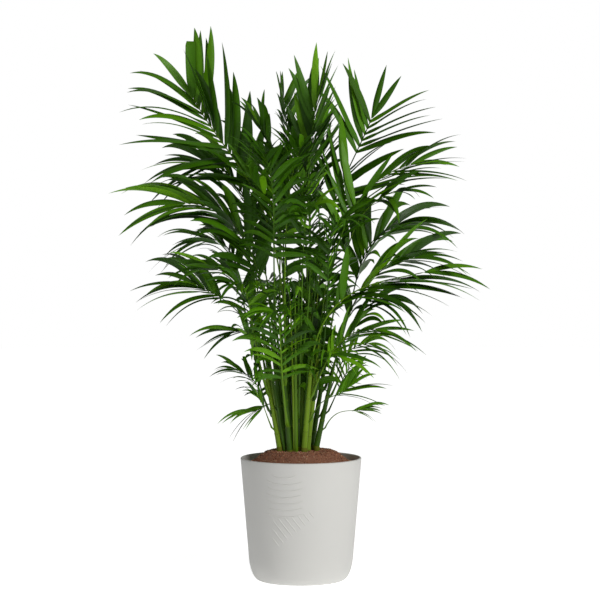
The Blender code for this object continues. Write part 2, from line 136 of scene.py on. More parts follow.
# The fronds that draw the outline seen from the front, from the top of the crown down
OUTLINE_FRONDS = [
    Frond(1, (-0.220, -0.02, 0.990), 62, 0.225, 0.258, 8, 42, 36, -80, 0.10),
    Frond(0, (-0.037, -0.05, 0.985), 80, 0.210, 0.140, 8, 65, 36, -70, 0.10),
    Frond(2, (0.032, -0.09, 0.985), 76, 0.250, 0.185, 8, 66, 30, 85, 0.04),
    Frond(3, (0.146, 0.02, 0.952), 68, 0.220, 0.210, 8, 60, 46, 80, 0.06),
    Frond(5, (0.224, -0.03, 0.855), 18, 0.220, 0.190, 8, 46, 18, 60, 0.14),
    Frond(4, (-0.236, -0.04, 0.775), -2, 0.240, 0.235, 8, 42, 18, -60, 0.26),
    Frond(9, (-0.205, 0.06, 0.862), 10, 0.220, 0.205, 8, 45, 18, -50, 0.20),
    Frond(8, (0.196, -0.08, 0.800), 12, 0.200, 0.150, 7, 46, 22, 40, 0.25),
    Frond(8, (0.196, 0.06, 0.730), 22, 0.150, 0.240, 5, 38, 22, 25, 0.28),
    Frond(9, (-0.205, 0.05, 0.702), -5, 0.200, 0.160, 7, 45, 20, -50, 0.35),
    Frond(13, (0.225, -0.02, 0.665), 12, 0.190, 0.210, 7, 38, 20, 30, 0.25),
    Frond(12, (-0.190, -0.08, 0.645), 0, 0.160, 0.140, 6, 45, 22, -40, 0.25),
    Frond(10, (0.250, -0.07, 0.635), 14, 0.200, 0.225, 7, 36, 16, 45, 0.18),
    Frond(4, (-0.214, -0.01, 0.608), 25, 0.060, 0.195, 3, 38, 18, -60, 0.26),
    Frond(13, (0.171, -0.03, 0.585), 0, 0.100, 0.160, 4, 45, 22, 60, 0.50),
    Frond(12, (-0.135, -0.06, 0.515), -15, 0.110, 0.125, 5, 50, 25, -30, 0.25),
    Frond(10, (0.150, -0.07, 0.520), 0, 0.120, 0.150, 5, 45, 22, 50, 0.20),
    Frond(8, (0.140, 0.05, 0.484), 0, 0.075, 0.120, 3, 50, 25, 50, 0.40),
    Frond(13, (0.101, -0.01, 0.439), 55, 0.050, 0.070, 3, 60, 30, 60, 0.30),
    Frond(9, (-0.130, 0.02, 0.430), 20, 0.080, 0.105, 4, 50, 25, -40, 0.30),
    Frond(10, (0.095, -0.06, 0.400), 50, 0.030, 0.130, 2, 45, 25, 60, 0.15),
    Frond(12, (-0.085, -0.04, 0.385), 40, 0.040, 0.080, 3, 50, 25, -20, 0.20),
    Frond(13, (0.125, -0.03, 0.354), 20, 0.020, 0.080, 2, 40, 22, 30, 0.25),
    Frond(4, (-0.100, -0.02, 0.348), 5, 0.030, 0.090, 2, 45, 25, -20, 0.30),
]

# Fronds that fill the crown in front and behind: how many, the height, reach and nod of a rib's tip,
# then the blade, the leaflet and the pairs
Tier = namedtuple("Tier", "count height reach nod blade leaflet pairs droop")
FILLING_TIERS = [
    Tier(4, 0.93, 0.11, 55, 0.23, 0.140, 9, 0.12),
    Tier(5, 0.86, 0.19, 32, 0.23, 0.160, 9, 0.20),
    Tier(5, 0.73, 0.18, 12, 0.22, 0.150, 8, 0.30),
    Tier(4, 0.59, 0.19, 0, 0.19, 0.130, 7, 0.35),
    Tier(2, 0.47, 0.14, -8, 0.13, 0.100, 5, 0.35),
]
CROWDING = 0.6
FILLING_SPREAD = math.radians(46.0)
FILLING_REACH_RANGE = (0.85, 1.1)
FILLING_HEIGHT_RANGE = (-0.035, 0.035)
FILLING_ROLL = 18.0
FILLING_LEAFLET_SPREAD = 60
FILLING_LEAFLET_CLOSE = 30


def pot_radius(height):
    """Outer radius of the pot's straight taper, pulled in over the rounded foot."""
    radius = POT_RIM_RADIUS - POT_TAPER * (POT_HEIGHT - height)
    if height < POT_FOOT_RISE:
        turn = (POT_FOOT_RISE - height) / POT_FOOT_RISE
        radius -= POT_FOOT_INSET * (1.0 - math.sqrt(1.0 - turn * turn))
    return radius


class Stem:
    """One cane: where it stands, how tall it is, and how it tapers."""

    def __init__(self, number):
        distance = CLUMP_RADIUS * math.sqrt((number + 0.5) / STEM_COUNT)
        self.azimuth = number * GOLDEN_ANGLE
        self.foot = Vector((math.cos(self.azimuth), math.sin(self.azimuth), 0.0)) * distance
        self.height = STEM_TALLEST + (STEM_SHORTEST - STEM_TALLEST) * distance / CLUMP_RADIUS
        self.direction = (self.foot * SPLAY + UP).normalized()

    def point(self, height):
        """The cane's axis: upright where it is cut off flat at the soil, then splayed."""
        ground = CLUMP_CENTRE + UP * (SOIL_TOP + GAP)
        return ground + self.foot * (1.0 + SPLAY * max(height - STEM_UPRIGHT_FOOT, 0.0)) + UP * height

    def radius(self, height):
        return STEM_RADIUS + (STEM_TIP_RADIUS - STEM_RADIUS) * height / self.height


def build_stem(name, stem):
    curve = bpy.data.curves.new(name, "CURVE")
    curve.dimensions = "3D"
    curve.bevel_depth = STEM_RADIUS
    curve.bevel_resolution = 1
    curve.use_fill_caps = True
    spline = curve.splines.new("POLY")
    rise = stem.height - STEM_UPRIGHT_FOOT
    heights = [0.0] + [STEM_UPRIGHT_FOOT + rise * i / STEM_JOINTS for i in range(STEM_JOINTS + 1)]
    spline.points.add(len(heights) - 1)
    for knot, height in zip(spline.points, heights):
        knot.co = (*stem.point(height), 1.0)
        knot.radius = stem.radius(height) / STEM_RADIUS
    return add_object(name, curve)


def evaluated_surface(thing):
    """World-space points and faces of a curve or mesh object."""
    graph = bpy.context.evaluated_depsgraph_get()
    mesh = bpy.data.meshes.new_from_object(thing.evaluated_get(graph))
    points = [thing.matrix_world @ vertex.co for vertex in mesh.vertices]
    faces = [tuple(face.vertices) for face in mesh.polygons]
    bpy.data.meshes.remove(mesh)
    return points, faces


class Space:
    """What has been placed so far, so that a new piece can be kept clear of it."""

    def __init__(self):
        self.placed = []

    @staticmethod
    def bounds(points):
        lows = [min(point[axis] for point in points) for axis in range(3)]
        highs = [max(point[axis] for point in points) for axis in range(3)]
        return lows, highs

    def touches(self, points, faces, owner=None):
        """Whether a skin meets anything placed, but for what its own frond has placed."""
        lows, highs = self.bounds(points)
        tree = None
        for placed_by, other_lows, other_highs, other in self.placed:
            if owner and placed_by == owner:
                continue
            if any(lows[a] > other_highs[a] or highs[a] < other_lows[a] for a in range(3)):
                continue
            tree = tree or BVHTree.FromPolygons(points, faces)
            if tree.overlap(other):
                return True
        return False

    def add(self, points, faces, owner=None):
        self.placed.append((owner, *self.bounds(points), BVHTree.FromPolygons(points, faces)))


def loft(sections):
    """A closed skin over cross-sections of equal point count."""
    count = len(sections[0])
    points = [point for section in sections for point in section]
    faces = [tuple(range(count))[::-1]]
    for row in range(len(sections) - 1):
        base = row * count
        for i in range(count):
            j = (i + 1) % count
            faces.append((base + i, base + j, base + count + j, base + count + i))
    faces.append(tuple(range(len(points) - count, len(points))))
    return points, faces


def slab(rows):
    """A closed skin round rows of (left, right, normal, thickness), fatter by the clearance."""
    sections = []
    for left, right, normal, thickness in rows:
        lift = normal * (thickness / 2.0 + CLEARANCE)
        aside = (right - left).normalized() * CLEARANCE
        left, right = left - aside, right + aside
        sections.append([left - lift, right - lift, right + lift, left + lift])
    return loft(sections)


class Rib:
    """A frond's stalk and rib: a curve that rises with its stem, then arches over to the frond's tip."""

    def __init__(self, frond, stem, leaves):
        outward = Vector(frond.tip) - stem.point(leaves)
        azimuth = Vector((outward.x, outward.y, 0.0)).normalized()
        aside = UP.cross(azimuth)
        if leaves >= stem.height:
            start = stem.point(stem.height) + stem.direction * GAP
            heading = stem.direction
        else:
            lean = (azimuth - stem.direction * azimuth.dot(stem.direction)).normalized()
            start = stem.point(leaves) + lean * (stem.radius(leaves) + ROOT_OFFSET)
            axis = stem.direction.cross(lean)
            heading = Quaternion(axis, LEAVING_ANGLE) @ stem.direction
        nod = math.radians(frond.nod)
        ending = azimuth * math.cos(nod) + UP * math.sin(nod)
        tip = Vector(frond.tip)
        reach = (tip - start).length
        handle_start = start + heading * reach * START_HANDLE
        handle_end = tip - ending * reach * END_HANDLE
        self.course = interpolate_bezier(start, handle_start, handle_end, tip, RIB_STEPS)
        self.run = [0.0]
        for before, after in zip(self.course, self.course[1:]):
            self.run.append(self.run[-1] + (after - before).length)
        self.length = self.run[-1]
        self.blade_start = max(self.length - frond.blade, STALK_LEAST_SHARE * self.length)
        self.roll = math.radians(frond.roll)
        self.aside = aside
        smallest = STALK_WIDTH_SMALLEST + STALK_WIDTH_PER_BLADE * frond.blade
        self.root_width = min(STALK_WIDTH, smallest)

    def at(self, distance):
        """Point and direction of the rib at a distance along it."""
        i = 1
        while i < len(self.run) - 1 and self.run[i] < distance:
            i += 1
        share = (distance - self.run[i - 1]) / (self.run[i] - self.run[i - 1])
        before, after = self.course[i - 1], self.course[i]
        return before.lerp(after, share), (after - before).normalized()

    def width(self, distance):
        return self.root_width * (1.0 + (RIB_TIP_SHARE - 1.0) * distance / self.length)

    def frame(self, distance):
        """Point, direction, the blade's sideways axis and its upper normal."""
        point, along = self.at(distance)
        aside = (self.aside - along * self.aside.dot(along)).normalized()
        turn = self.roll * min(distance / self.blade_start, 1.0)
        aside = Quaternion(along, turn) @ aside
        return point, along, aside, along.cross(aside)

    def stations(self, pairs):
        """Distances of the cross-sections: along the bare stalk, then one at each pair of leaflets."""
        stalk = [self.blade_start * i / STALK_STEPS for i in range(STALK_STEPS)]
        pitch = (self.length - self.blade_start) / pairs
        return stalk + [self.blade_start + pitch * i for i in range(pairs + 1)]

    def row(self, distance):
        point, along, aside, normal = self.frame(distance)
        half = aside * self.width(distance) / 2.0
        return point - half, point + half, normal, self.width(distance)

    def skin(self, pairs):
        return slab([self.row(distance) for distance in self.stations(pairs)])


class Leaflet:
    """One leaflet: a tapering blade whose foot is a stretch of the rib's edge."""

    def __init__(self, rib, frond, number, side, chance, try_number):
        pitch = (rib.length - rib.blade_start) / frond.pairs
        share = (number + 0.5) / frond.pairs
        near, far = rib.blade_start + pitch * number, rib.blade_start + pitch * (number + 1)
        self.near = rib.row(near)[side]
        self.far = rib.row(far)[side]
        _, along, aside, normal = rib.frame((near + far) / 2.0)
        outward = aside if side else -aside
        least = LEAFLET_FOOT_SHARE if share < 0.5 else LEAFLET_END_SHARE
        self.length = frond.leaflet * (1.0 - (1.0 - least) * (2.0 * share - 1.0) ** 2)
        self.length *= chance.uniform(*LENGTH_RANGE) * (1.0 - TRY_SHRINK * try_number)
        angle = frond.spread + (frond.close - frond.spread) * share + chance.uniform(*ANGLE_RANGE)
        angle += TRY_STEP * (try_number + 1) // 2 * (1.0 if try_number % 2 else -1.0)
        angle = math.radians(max(angle, ANGLE_LEAST))
        lift = math.radians(chance.uniform(*LIFT_RANGE))
        heading = along * math.cos(angle) + outward * math.sin(angle)
        heading = (heading * math.cos(lift) + normal * math.sin(lift)).normalized()
        self.heading = heading
        self.fall = frond.droop * chance.uniform(*FALL_RANGE)
        crossing = (along - heading * along.dot(heading)).normalized()
        twist = math.radians(chance.uniform(*TWIST_RANGE))
        self.crossing = Quaternion(heading, twist if side else -twist) @ crossing
        self.width = frond.leaflet * LEAFLET_WIDTH_SHARE
        self.thickness = max(LEAFLET_THINNEST, frond.leaflet * LEAFLET_THICKNESS_SHARE)
        self.root_thickness = rib.width(near)

    def centre(self, share):
        """A point along the leaflet, which falls away from its heading as it goes out."""
        middle = (self.near + self.far) / 2.0
        reach = self.length * share
        fallen = self.fall * share
        return middle + self.heading * reach * (1.0 - FALL_SHORTENS * fallen) - UP * reach * fallen

    def rows(self):
        """The near and far edge at each station between foot and tip."""
        halves = [(share, self.crossing * self.width * full / 2.0) for share, full in LEAFLET_STATIONS]
        return [(self.centre(share) - half, self.centre(share) + half) for share, half in halves]

    def skin(self, start):
        """The leaflet's closed skin from a share of its length outwards, for the clearance test."""
        rows = self.rows()
        blend = start / LEAFLET_STATIONS[0][0]
        root = self.near.lerp(rows[0][0], blend), self.far.lerp(rows[0][1], blend)
        half = self.crossing * self.thickness / 2.0
        edges = [root, *rows, (self.centre(1.0) - half, self.centre(1.0) + half)]
        normal = self.heading.cross(self.crossing)
        thick = self.root_thickness + (self.thickness - self.root_thickness) * blend
        depths = [thick] + [self.thickness] * (len(edges) - 1)
        return slab([(near, far, normal, depth) for (near, far), depth in zip(edges, depths)])


def place_rib(frond, stem, leaves, space, chance):
    """The frond's rib, nudged aside until its stalk and rib are clear of all that stands."""
    for nudge in range(NUDGES):
        reach = NUDGE_STEP * nudge
        shift = Vector([chance.uniform(-reach, reach) for _ in range(3)])
        moved = frond._replace(tip=tuple(Vector(frond.tip) + shift))
        rib = Rib(moved, stem, leaves)
        points, faces = rib.skin(frond.pairs)
        if not space.touches(points, faces):
            space.add(points, faces, frond)
            return rib
    return None


def place_leaflets(frond, rib, space, chance):
    """Leaflets in pairs up the rib, each in its slot or left out where it would touch."""
    found = {}
    for number in range(frond.pairs):
        for side in (0, 1):
            for try_number in range(TRIES):
                leaflet = Leaflet(rib, frond, number, side, chance, try_number)
                whole, outer = leaflet.skin(0.0), leaflet.skin(TESTED_FROM)
                if not space.touches(*outer) and not space.touches(*whole, frond):
                    space.add(*whole, frond)
                    found[number, side] = leaflet
                    break
    return found


def filling_fronds(chance):
    """Fronds for the front and back of the crown, in tiers, turn about."""
    made = []
    for tier in FILLING_TIERS:
        for number in range(tier.count):
            facing = math.pi / 2.0 if len(made) % 2 else -math.pi / 2.0
            share = (len(made) * GOLDEN_ANGLE / math.tau) % 1.0
            azimuth = facing + FILLING_SPREAD * (2.0 * share - 1.0)
            reach = tier.reach * chance.uniform(*FILLING_REACH_RANGE)
            tip = (
                CLUMP_CENTRE.x + reach * math.cos(azimuth),
                reach * math.sin(azimuth),
                tier.height + chance.uniform(*FILLING_HEIGHT_RANGE),
            )
            roll = chance.uniform(-FILLING_ROLL, FILLING_ROLL)
            angles = FILLING_LEAFLET_SPREAD, FILLING_LEAFLET_CLOSE, roll
            frond = Frond(None, tip, tier.nod, tier.blade, tier.leaflet, tier.pairs, *angles, tier.droop)
            made.append((azimuth, frond))
    return made


def share_out(fronds, stems):
    """Each filling frond goes to the stem that best faces its way and bears the fewest so far."""
    borne = {number: 0 for number in range(len(stems))}
    for frond in OUTLINE_FRONDS:
        borne[frond.stem] += 1
    shared = list(OUTLINE_FRONDS)
    for azimuth, frond in fronds:
        def cost(number):
            apart = abs((stems[number].azimuth - azimuth + math.pi) % math.tau - math.pi)
            return apart + CROWDING * borne[number]
        stem = min(borne, key=cost)
        borne[stem] += 1
        shared.append(frond._replace(stem=stem))
    return shared


def leaving_heights(fronds, stems):
    """The highest frond of a stem ends it, and the lower ones leave it in turn below."""
    heights = {}
    for number, stem in enumerate(stems):
        own = sorted((f for f in fronds if f.stem == number), key=lambda f: -f.tip[2])
        for rank, frond in enumerate(own):
            heights[frond] = stem.height * (1.0 - LEAVING_SPAN * rank / max(len(own), 1))
    return heights


PLANT = {}


def grown_plant():
    """The stems, and each frond with its rib, leaving height and leaflets, grown once for every operator."""
    if not PLANT:
        chance = random.Random(SEED)
        space = Space()
        stems = [Stem(number) for number in range(STEM_COUNT)]
        for stem in stems:
            guide = build_stem("guide", stem)
            bpy.context.view_layer.update()
            space.add(*evaluated_surface(guide))
            bpy.data.objects.remove(guide, do_unlink=True)
        fronds = share_out(filling_fronds(chance), stems)
        heights = leaving_heights(fronds, stems)
        ribs = {frond: place_rib(frond, stems[frond.stem], heights[frond], space, chance) for frond in fronds}
        PLANT["stems"] = stems
        PLANT["fronds"] = [
            (frond, rib, heights[frond], place_leaflets(frond, rib, space, chance))
            for frond, rib in ribs.items()
            if rib
        ]
    return PLANT["stems"], PLANT["fronds"]


def add_object(name, data):
    made = bpy.data.objects.new(name, data)
    bpy.context.scene.collection.objects.link(made)
    return made


def activate(piece):
    bpy.ops.object.select_all(action="DESELECT")
    piece.select_set(True)
    bpy.context.view_layer.objects.active = piece


def finish_piece(piece, slot, *nodes):
    """The piece rides on the one body and stands for its nodes. The slot is not used."""
    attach(piece, BODY)
    if nodes:
        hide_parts(*nodes)


def turned(name, profile, steps):
    """A profile of (radius, height) points, drawn out point by point and turned about Z into a closed piece."""
    bpy.ops.object.select_all(action="DESELECT")
    bpy.ops.mesh.primitive_plane_add(calc_uvs=False)
    piece = bpy.context.active_object
    piece.name = piece.data.name = name
    bpy.ops.object.mode_set(mode="EDIT")
    bpy.ops.mesh.select_all(action="SELECT")
    bpy.ops.mesh.merge(type="CENTER")
    bpy.ops.transform.translate(value=(profile[0][0], 0.0, profile[0][1]))
    for (radius, height), (next_radius, next_height) in zip(profile, profile[1:]):
        step = (next_radius - radius, 0.0, next_height - height)
        bpy.ops.mesh.extrude_region_move(TRANSFORM_OT_translate={"value": step})
    bpy.ops.object.mode_set(mode="OBJECT")
    screw = piece.modifiers.new("Turn", "SCREW")
    screw.axis = "Z"
    screw.steps = screw.render_steps = steps
    screw.use_merge_vertices = True
    screw.merge_threshold = MERGE
    bpy.ops.object.modifier_apply(modifier=screw.name)
    bpy.ops.object.mode_set(mode="EDIT")
    bpy.ops.mesh.select_all(action="SELECT")
    bpy.ops.mesh.normals_make_consistent(inside=False)
    bpy.ops.object.mode_set(mode="OBJECT")
    bpy.ops.object.shade_smooth_by_angle(angle=SMOOTH_ANGLE)
    return piece


# Materials


def add_node(tree, kind, **values):
    """A shader node with plain values on its sockets, whose names are given with underscores."""
    made = tree.nodes.new(f"ShaderNode{kind}")
    for label, value in values.items():
        made.inputs[label.replace("_", " ")].default_value = value
    return made


def wire(tree, *joins):
    """Links given as (node, output, node, input)."""
    for start, output, end, socket in joins:
        tree.links.new(start.outputs[output], end.inputs[socket])


def effect(name, inputs, outputs):
    """An empty shader node group with its sockets, and the nodes at its two ends."""
    group = bpy.data.node_groups.new(name, "ShaderNodeTree")
    for label, default in inputs.items():
        kind = "Float" if isinstance(default, float) else "Color"
        socket = group.interface.new_socket(label, in_out="INPUT", socket_type=f"NodeSocket{kind}")
        socket.default_value = default
    for label, kind in outputs.items():
        group.interface.new_socket(label, in_out="OUTPUT", socket_type=f"NodeSocket{kind}")
    return group, group.nodes.new("NodeGroupInput"), group.nodes.new("NodeGroupOutput")


def leaf_surface():
    """A leaf's roughness and normal: fine veins along the blade and soft blotches of wax."""
    inputs = {"Vein Count": 3.2, "Blotch Scale": 42.0, "Smoothest": 0.30, "Roughest": 0.52, "Relief": 0.25}
    group, given, made = effect("leaf_surface", inputs, {"Roughness": "Float", "Normal": "Vector"})
    place = add_node(group, "TexCoord")
    veins = add_node(group, "TexWave", Distortion=0.6)
    veins.bands_direction = "X"
    blotches = add_node(group, "TexNoise")
    spread = add_node(group, "MapRange", From_Min=0.3, From_Max=0.7)
    bump = add_node(group, "Bump", Distance=0.0006)
    wire(
        group,
        (place, "UV", veins, "Vector"),
        (given, "Vein Count", veins, "Scale"),
        (place, "Object", blotches, "Vector"),
        (given, "Blotch Scale", blotches, "Scale"),
        (blotches, "Fac", spread, "Value"),
        (given, "Smoothest", spread, "To Min"),
        (given, "Roughest", spread, "To Max"),
        (veins, "Fac", bump, "Height"),
        (given, "Relief", bump, "Strength"),
        (spread, "Result", made, "Roughness"),
        (bump, "Normal", made, "Normal"),
    )
    return group


def mottle():
    """Two colours in soft patches with finer grain over them, and the grain's normal."""
    inputs = {
        "First": (0.8, 0.8, 0.8, 1.0), "Second": (0.6, 0.6, 0.6, 1.0),
        "Patch Scale": 20.0, "Grain Scale": 400.0, "Relief": 0.2,
    }
    group, given, made = effect("mottle", inputs, {"Colour": "Color", "Normal": "Vector"})
    place = add_node(group, "TexCoord")
    patches = add_node(group, "TexNoise", Detail=6.0)
    grain = add_node(group, "TexNoise", Detail=3.0)
    mix = add_node(group, "MixRGB")
    bump = add_node(group, "Bump", Distance=0.0008)
    wire(
        group,
        (place, "Object", patches, "Vector"),
        (place, "Object", grain, "Vector"),
        (given, "Patch Scale", patches, "Scale"),
        (given, "Grain Scale", grain, "Scale"),
        (patches, "Fac", mix, "Fac"),
        (given, "First", mix, "Color1"),
        (given, "Second", mix, "Color2"),
        (grain, "Fac", bump, "Height"),
        (given, "Relief", bump, "Strength"),
        (mix, "Color", made, "Colour"),
        (bump, "Normal", made, "Normal"),
    )
    return group


def new_material(name, **values):
    """A material, and its shader with plain values on its own sockets."""
    made = bpy.data.materials.new(name)
    made.use_nodes = True
    shader = made.node_tree.nodes["Principled BSDF"]
    for label, value in values.items():
        shader.inputs[label.replace("_", " ")].default_value = value
    return made, shader


def add_effect(material, shader, build, joins, **values):
    """An effect placed in a material with its own values; joins are the group's outputs and their sockets."""
    group = add_node(material.node_tree, "Group")
    group.node_tree = bpy.data.node_groups.get(build.__name__) or build()
    for label, value in values.items():
        group.inputs[label.replace("_", " ")].default_value = value
    wire(material.node_tree, *((group, output, shader, socket) for output, socket in joins.items()))
    return material


def grown_material(name, colour, smoothest, roughest, relief=0.25, gloss=0.24):
    """A plain green, brown or yellow under veins and patches of wax that change its sheen."""
    values = {"Base_Color": (*colour, 1.0), "Specular_IOR_Level": gloss, "Roughness": roughest}
    made, shader = new_material(name, **values)
    joins = {"Roughness": "Roughness", "Normal": "Normal"}
    sheen = {"Smoothest": smoothest, "Roughest": roughest, "Relief": relief}
    return add_effect(made, shader, leaf_surface, joins, **sheen)


def mottled_material(name, first, second, roughness, patch_scale, grain_scale, relief):
    made, shader = new_material(name, Roughness=roughness)
    joins = {"Colour": "Base Color", "Normal": "Normal"}
    values = {"First": (*first, 1.0), "Second": (*second, 1.0), "Relief": relief}
    return add_effect(made, shader, mottle, joins, Patch_Scale=patch_scale, Grain_Scale=grain_scale, **values)


# Joined meshes


class Joined:
    """One mesh gathered from grids of points, with a UV for each corner and a finish for each face."""

    def __init__(self):
        self.points, self.faces, self.uvs, self.kinds = [], [], [], []
        self.count = 0

    def add_grid(self, grid, kinds, closed=False):
        """A grid of (rows, columns, 3) points. kinds is one finish, or one for each row of faces."""
        rows, columns = grid.shape[:2]
        spans = columns if closed else columns - 1
        row, column = np.meshgrid(np.arange(rows - 1), np.arange(spans), indexing="ij")
        right = (column + 1) % columns
        corners = [(row, column), (row, right), (row + 1, right), (row + 1, column)]
        quads = np.stack([r * columns + c for r, c in corners], axis=-1).reshape(-1, 4)
        across = np.stack([column, column + 1, column + 1, column], axis=-1).reshape(-1, 4) / spans
        up = np.stack([row, row, row + 1, row + 1], axis=-1).reshape(-1, 4) / (rows - 1)
        self.points.append(grid.reshape(-1, 3))
        self.faces.append(quads + self.count)
        self.uvs.append(np.stack([across, up], axis=-1).reshape(-1, 2))
        self.kinds.append(np.broadcast_to(np.asarray(kinds).reshape(-1, 1), row.shape).reshape(-1))
        self.count += rows * columns

    def build(self, name, finishes):
        points, faces = np.concatenate(self.points), np.concatenate(self.faces)
        mesh = joined_mesh(name, points, faces, self.kinds, finishes)
        layer = mesh.uv_layers.new(name="UVMap")
        layer.data.foreach_set("uv", np.concatenate(self.uvs).astype(np.float32).ravel())
        mesh.polygons.foreach_set("use_smooth", np.ones(len(mesh.polygons), bool))
        mesh.update()
        return add_object(name, mesh)


def joined_mesh(name, points, faces, kinds, finishes):
    """A mesh whose faces take their finish from kinds, a list of arrays. Like finishes are made once."""
    mesh = bpy.data.meshes.new(name)
    mesh.from_pydata(points.tolist(), [], faces.tolist())
    for finish in finishes:
        mesh.materials.append(bpy.data.materials.get(finish[0]) or grown_material(*finish))
    mesh.polygons.foreach_set("material_index", np.concatenate(kinds).astype(np.int32))
    mesh.update()
    return mesh


def tube(centres, asides, normals, widths, depths, sides):
    """Rings round a line: aside, normal and the line's direction are a right-handed set."""
    angle = np.linspace(0.0, math.tau, sides, endpoint=False)
    across = np.cos(angle)[None, :, None] * asides[:, None, :] * widths[:, None, None] / 2.0
    over = np.sin(angle)[None, :, None] * normals[:, None, :] * depths[:, None, None] / 2.0
    return centres[:, None, :] + across + over


def leaning_tube(centres, lean, widths, sides):
    """A tube whose rings all lie across one direction."""
    aside = (Vector((1.0, 0.0, 0.0)) - lean * lean.x).normalized()
    asides = np.broadcast_to(np.array(aside), centres.shape)
    normals = np.broadcast_to(np.array(lean.cross(aside)), centres.shape)
    return tube(centres, asides, normals, widths, widths, sides)


# Settings


def count_of(name, description, default, least=0):
    return IntProperty(name=name, description=description, default=default, min=least)


def share_of(name, description, default):
    return FloatProperty(name=name, description=description, default=default)


def length_of(name, description, default):
    return FloatProperty(name=name, description=description, default=default, unit="LENGTH")


def angle_of(name, description, degrees):
    return FloatProperty(name=name, description=description, default=math.radians(degrees), subtype="ANGLE")


def colour_of(name, description, default):
    text = {"name": name, "description": description}
    return FloatVectorProperty(**text, default=default, size=3, subtype="COLOR", min=0.0, max=1.0)


class PalmPotSettings(PropertyGroup):
    steps: count_of("Sides", "Sides of the turned pot", 160, 24)
    colour: colour_of("Colour", "Warm off-white of the pot", (0.663, 0.660, 0.637))
    shade: colour_of("Shade", "The pot's slightly darker patches", (0.624, 0.621, 0.598))
    line_radius: length_of("Line Radius", "Radius of a relief line", 0.0016)
    line_sunk: length_of("Line Sunk", "Depth of a relief line's axis in the wall", 0.0007)


class PalmSoilSettings(PropertyGroup):
    steps: count_of("Sides", "Sides of the mound", 150, 24)
    clump_height: length_of("Clump Height", "Height of the mound's lumps", 0.005)
    granules: count_of("Granules", "Loose chips of coir", 4200)
    fibres: count_of("Fibres", "Loose strands of coir", 320)
    colour: colour_of("Colour", "Brown of the coir", (0.34, 0.145, 0.085))


class PalmCaneSettings(PropertyGroup):
    sides: count_of("Sides", "Sides of a cane", 14, 6)
    ring_pitch: length_of("Ring Pitch", "Length between two leaf scars", 0.058)
    ring_swell: share_of("Ring Swell", "How far a scar stands out, as a share of the radius", 0.06)
    shoots: count_of("Shoots", "Slim young shoots among the canes", 26)


class PalmFrondSettings(PropertyGroup):
    rows: count_of("Rows", "Rows of faces up a leaflet", 14, 4)
    per_slot: count_of("Leaflets", "Leaflets grown in each slot of the rib", 2, 1)
    fold: angle_of("Fold", "How far each half falls from the midrib", 20.0)
    width: share_of("Width", "Share of the solid leaflet's width", 0.68)
    sweep: share_of("Sweep", "Sideways bow, as a share of the length", 0.13)
    curl: share_of("Curl", "Extra fall of the tip, as a share of the length", 0.10)
    shoot_pairs: count_of("Shoot Pairs", "Leaflet pairs on a young shoot", 4, 1)
    rib_sides: count_of("Rib Sides", "Sides of a rib", 10, 6)


class PalmStageSettings(PropertyGroup):
    distance: length_of("Distance", "Camera to the pot's axis", 4.05)
    eye_height: length_of("Eye Height", "Height of the camera", 0.696)
    aside: length_of("Aside", "Sideways place of the camera", -0.00206)
    lens: share_of("Lens", "Focal length in millimetres on a 36 mm sensor", 118.0)
    pitch: angle_of("Pitch", "How far the camera looks down", 1.69)
    key_power: share_of("Key", "Watts of the soft light from the right", 100.2)
    fill_power: share_of("Fill", "Watts of the soft light from the left", 1.0)
    floor_radius: length_of("Floor", "Radius of the pale floor", 9.0)
    floor_seen: share_of("Floor Seen", "How bright the floor itself is seen", 0.86)
    backdrop: share_of("Backdrop", "How bright the space behind is seen", 1.0)
    sky: share_of("Sky", "Strength of the even light all round", 0.156)
    glow: share_of("Glow", "Strength of the floor's own light", 0.494)


# Pot

SMOOTH_ANGLE = math.radians(50.0)
WALL_ROWS = 9
LIP_ROWS = 9
SIDE_ROWS = 13
FOOT_ROWS = 13

# The relief on the pot's front: bowed rules, of which the top one is short, and strokes that slant
# down to the right below them, in metres across from the axis and up from the foot
RULES = 7
RULE_TOP = 0.2285
RULE_PITCH = 0.0132
RULE_MIDDLE = -0.034
RULE_SHIFT = 0.001
RULE_HALF = 0.037
RULE_SHORT_HALF = 0.024
RULE_BOW = 0.0065
RULE_POINTS = 17
STROKE_FIRST = (0.027, 0.141)
STROKE_LAST = (-0.044, 0.082)
STROKE_SLANT = (-0.62, 0.78)
STROKE_SHORTEST = 0.0164
STROKE_GROWTH = 0.006
STROKES_GROWING = 7
STROKES_CLOSING = (0.038, 0.024)
STROKE_POINTS = 10
LINE_END_SHARE = 0.55


def pot_profile():
    """(radius, height) from the inner floor up the wall, over the round lip and down to the foot."""
    lip = POT_WALL / 2.0
    shoulder = POT_HEIGHT - lip
    points = [(0.0, POT_FLOOR), (pot_radius(POT_FLOOR) - POT_WALL, POT_FLOOR)]
    for height in np.linspace(POT_FOOT_RISE, shoulder, WALL_ROWS):
        points.append((pot_radius(height) - POT_WALL, float(height)))
    middle = pot_radius(shoulder) - lip
    for turn in np.linspace(math.pi, 0.0, LIP_ROWS)[1:-1]:
        points.append((middle + lip * math.cos(turn), shoulder + lip * math.sin(turn)))
    for height in np.linspace(shoulder, POT_FOOT_RISE, SIDE_ROWS):
        points.append((pot_radius(height), float(height)))
    for turn in np.linspace(0.0, math.pi / 2.0, FOOT_ROWS)[1:]:
        height = POT_FOOT_RISE * (1.0 - math.sin(turn))
        points.append((pot_radius(height), height))
    return points + [(0.0, 0.0)]


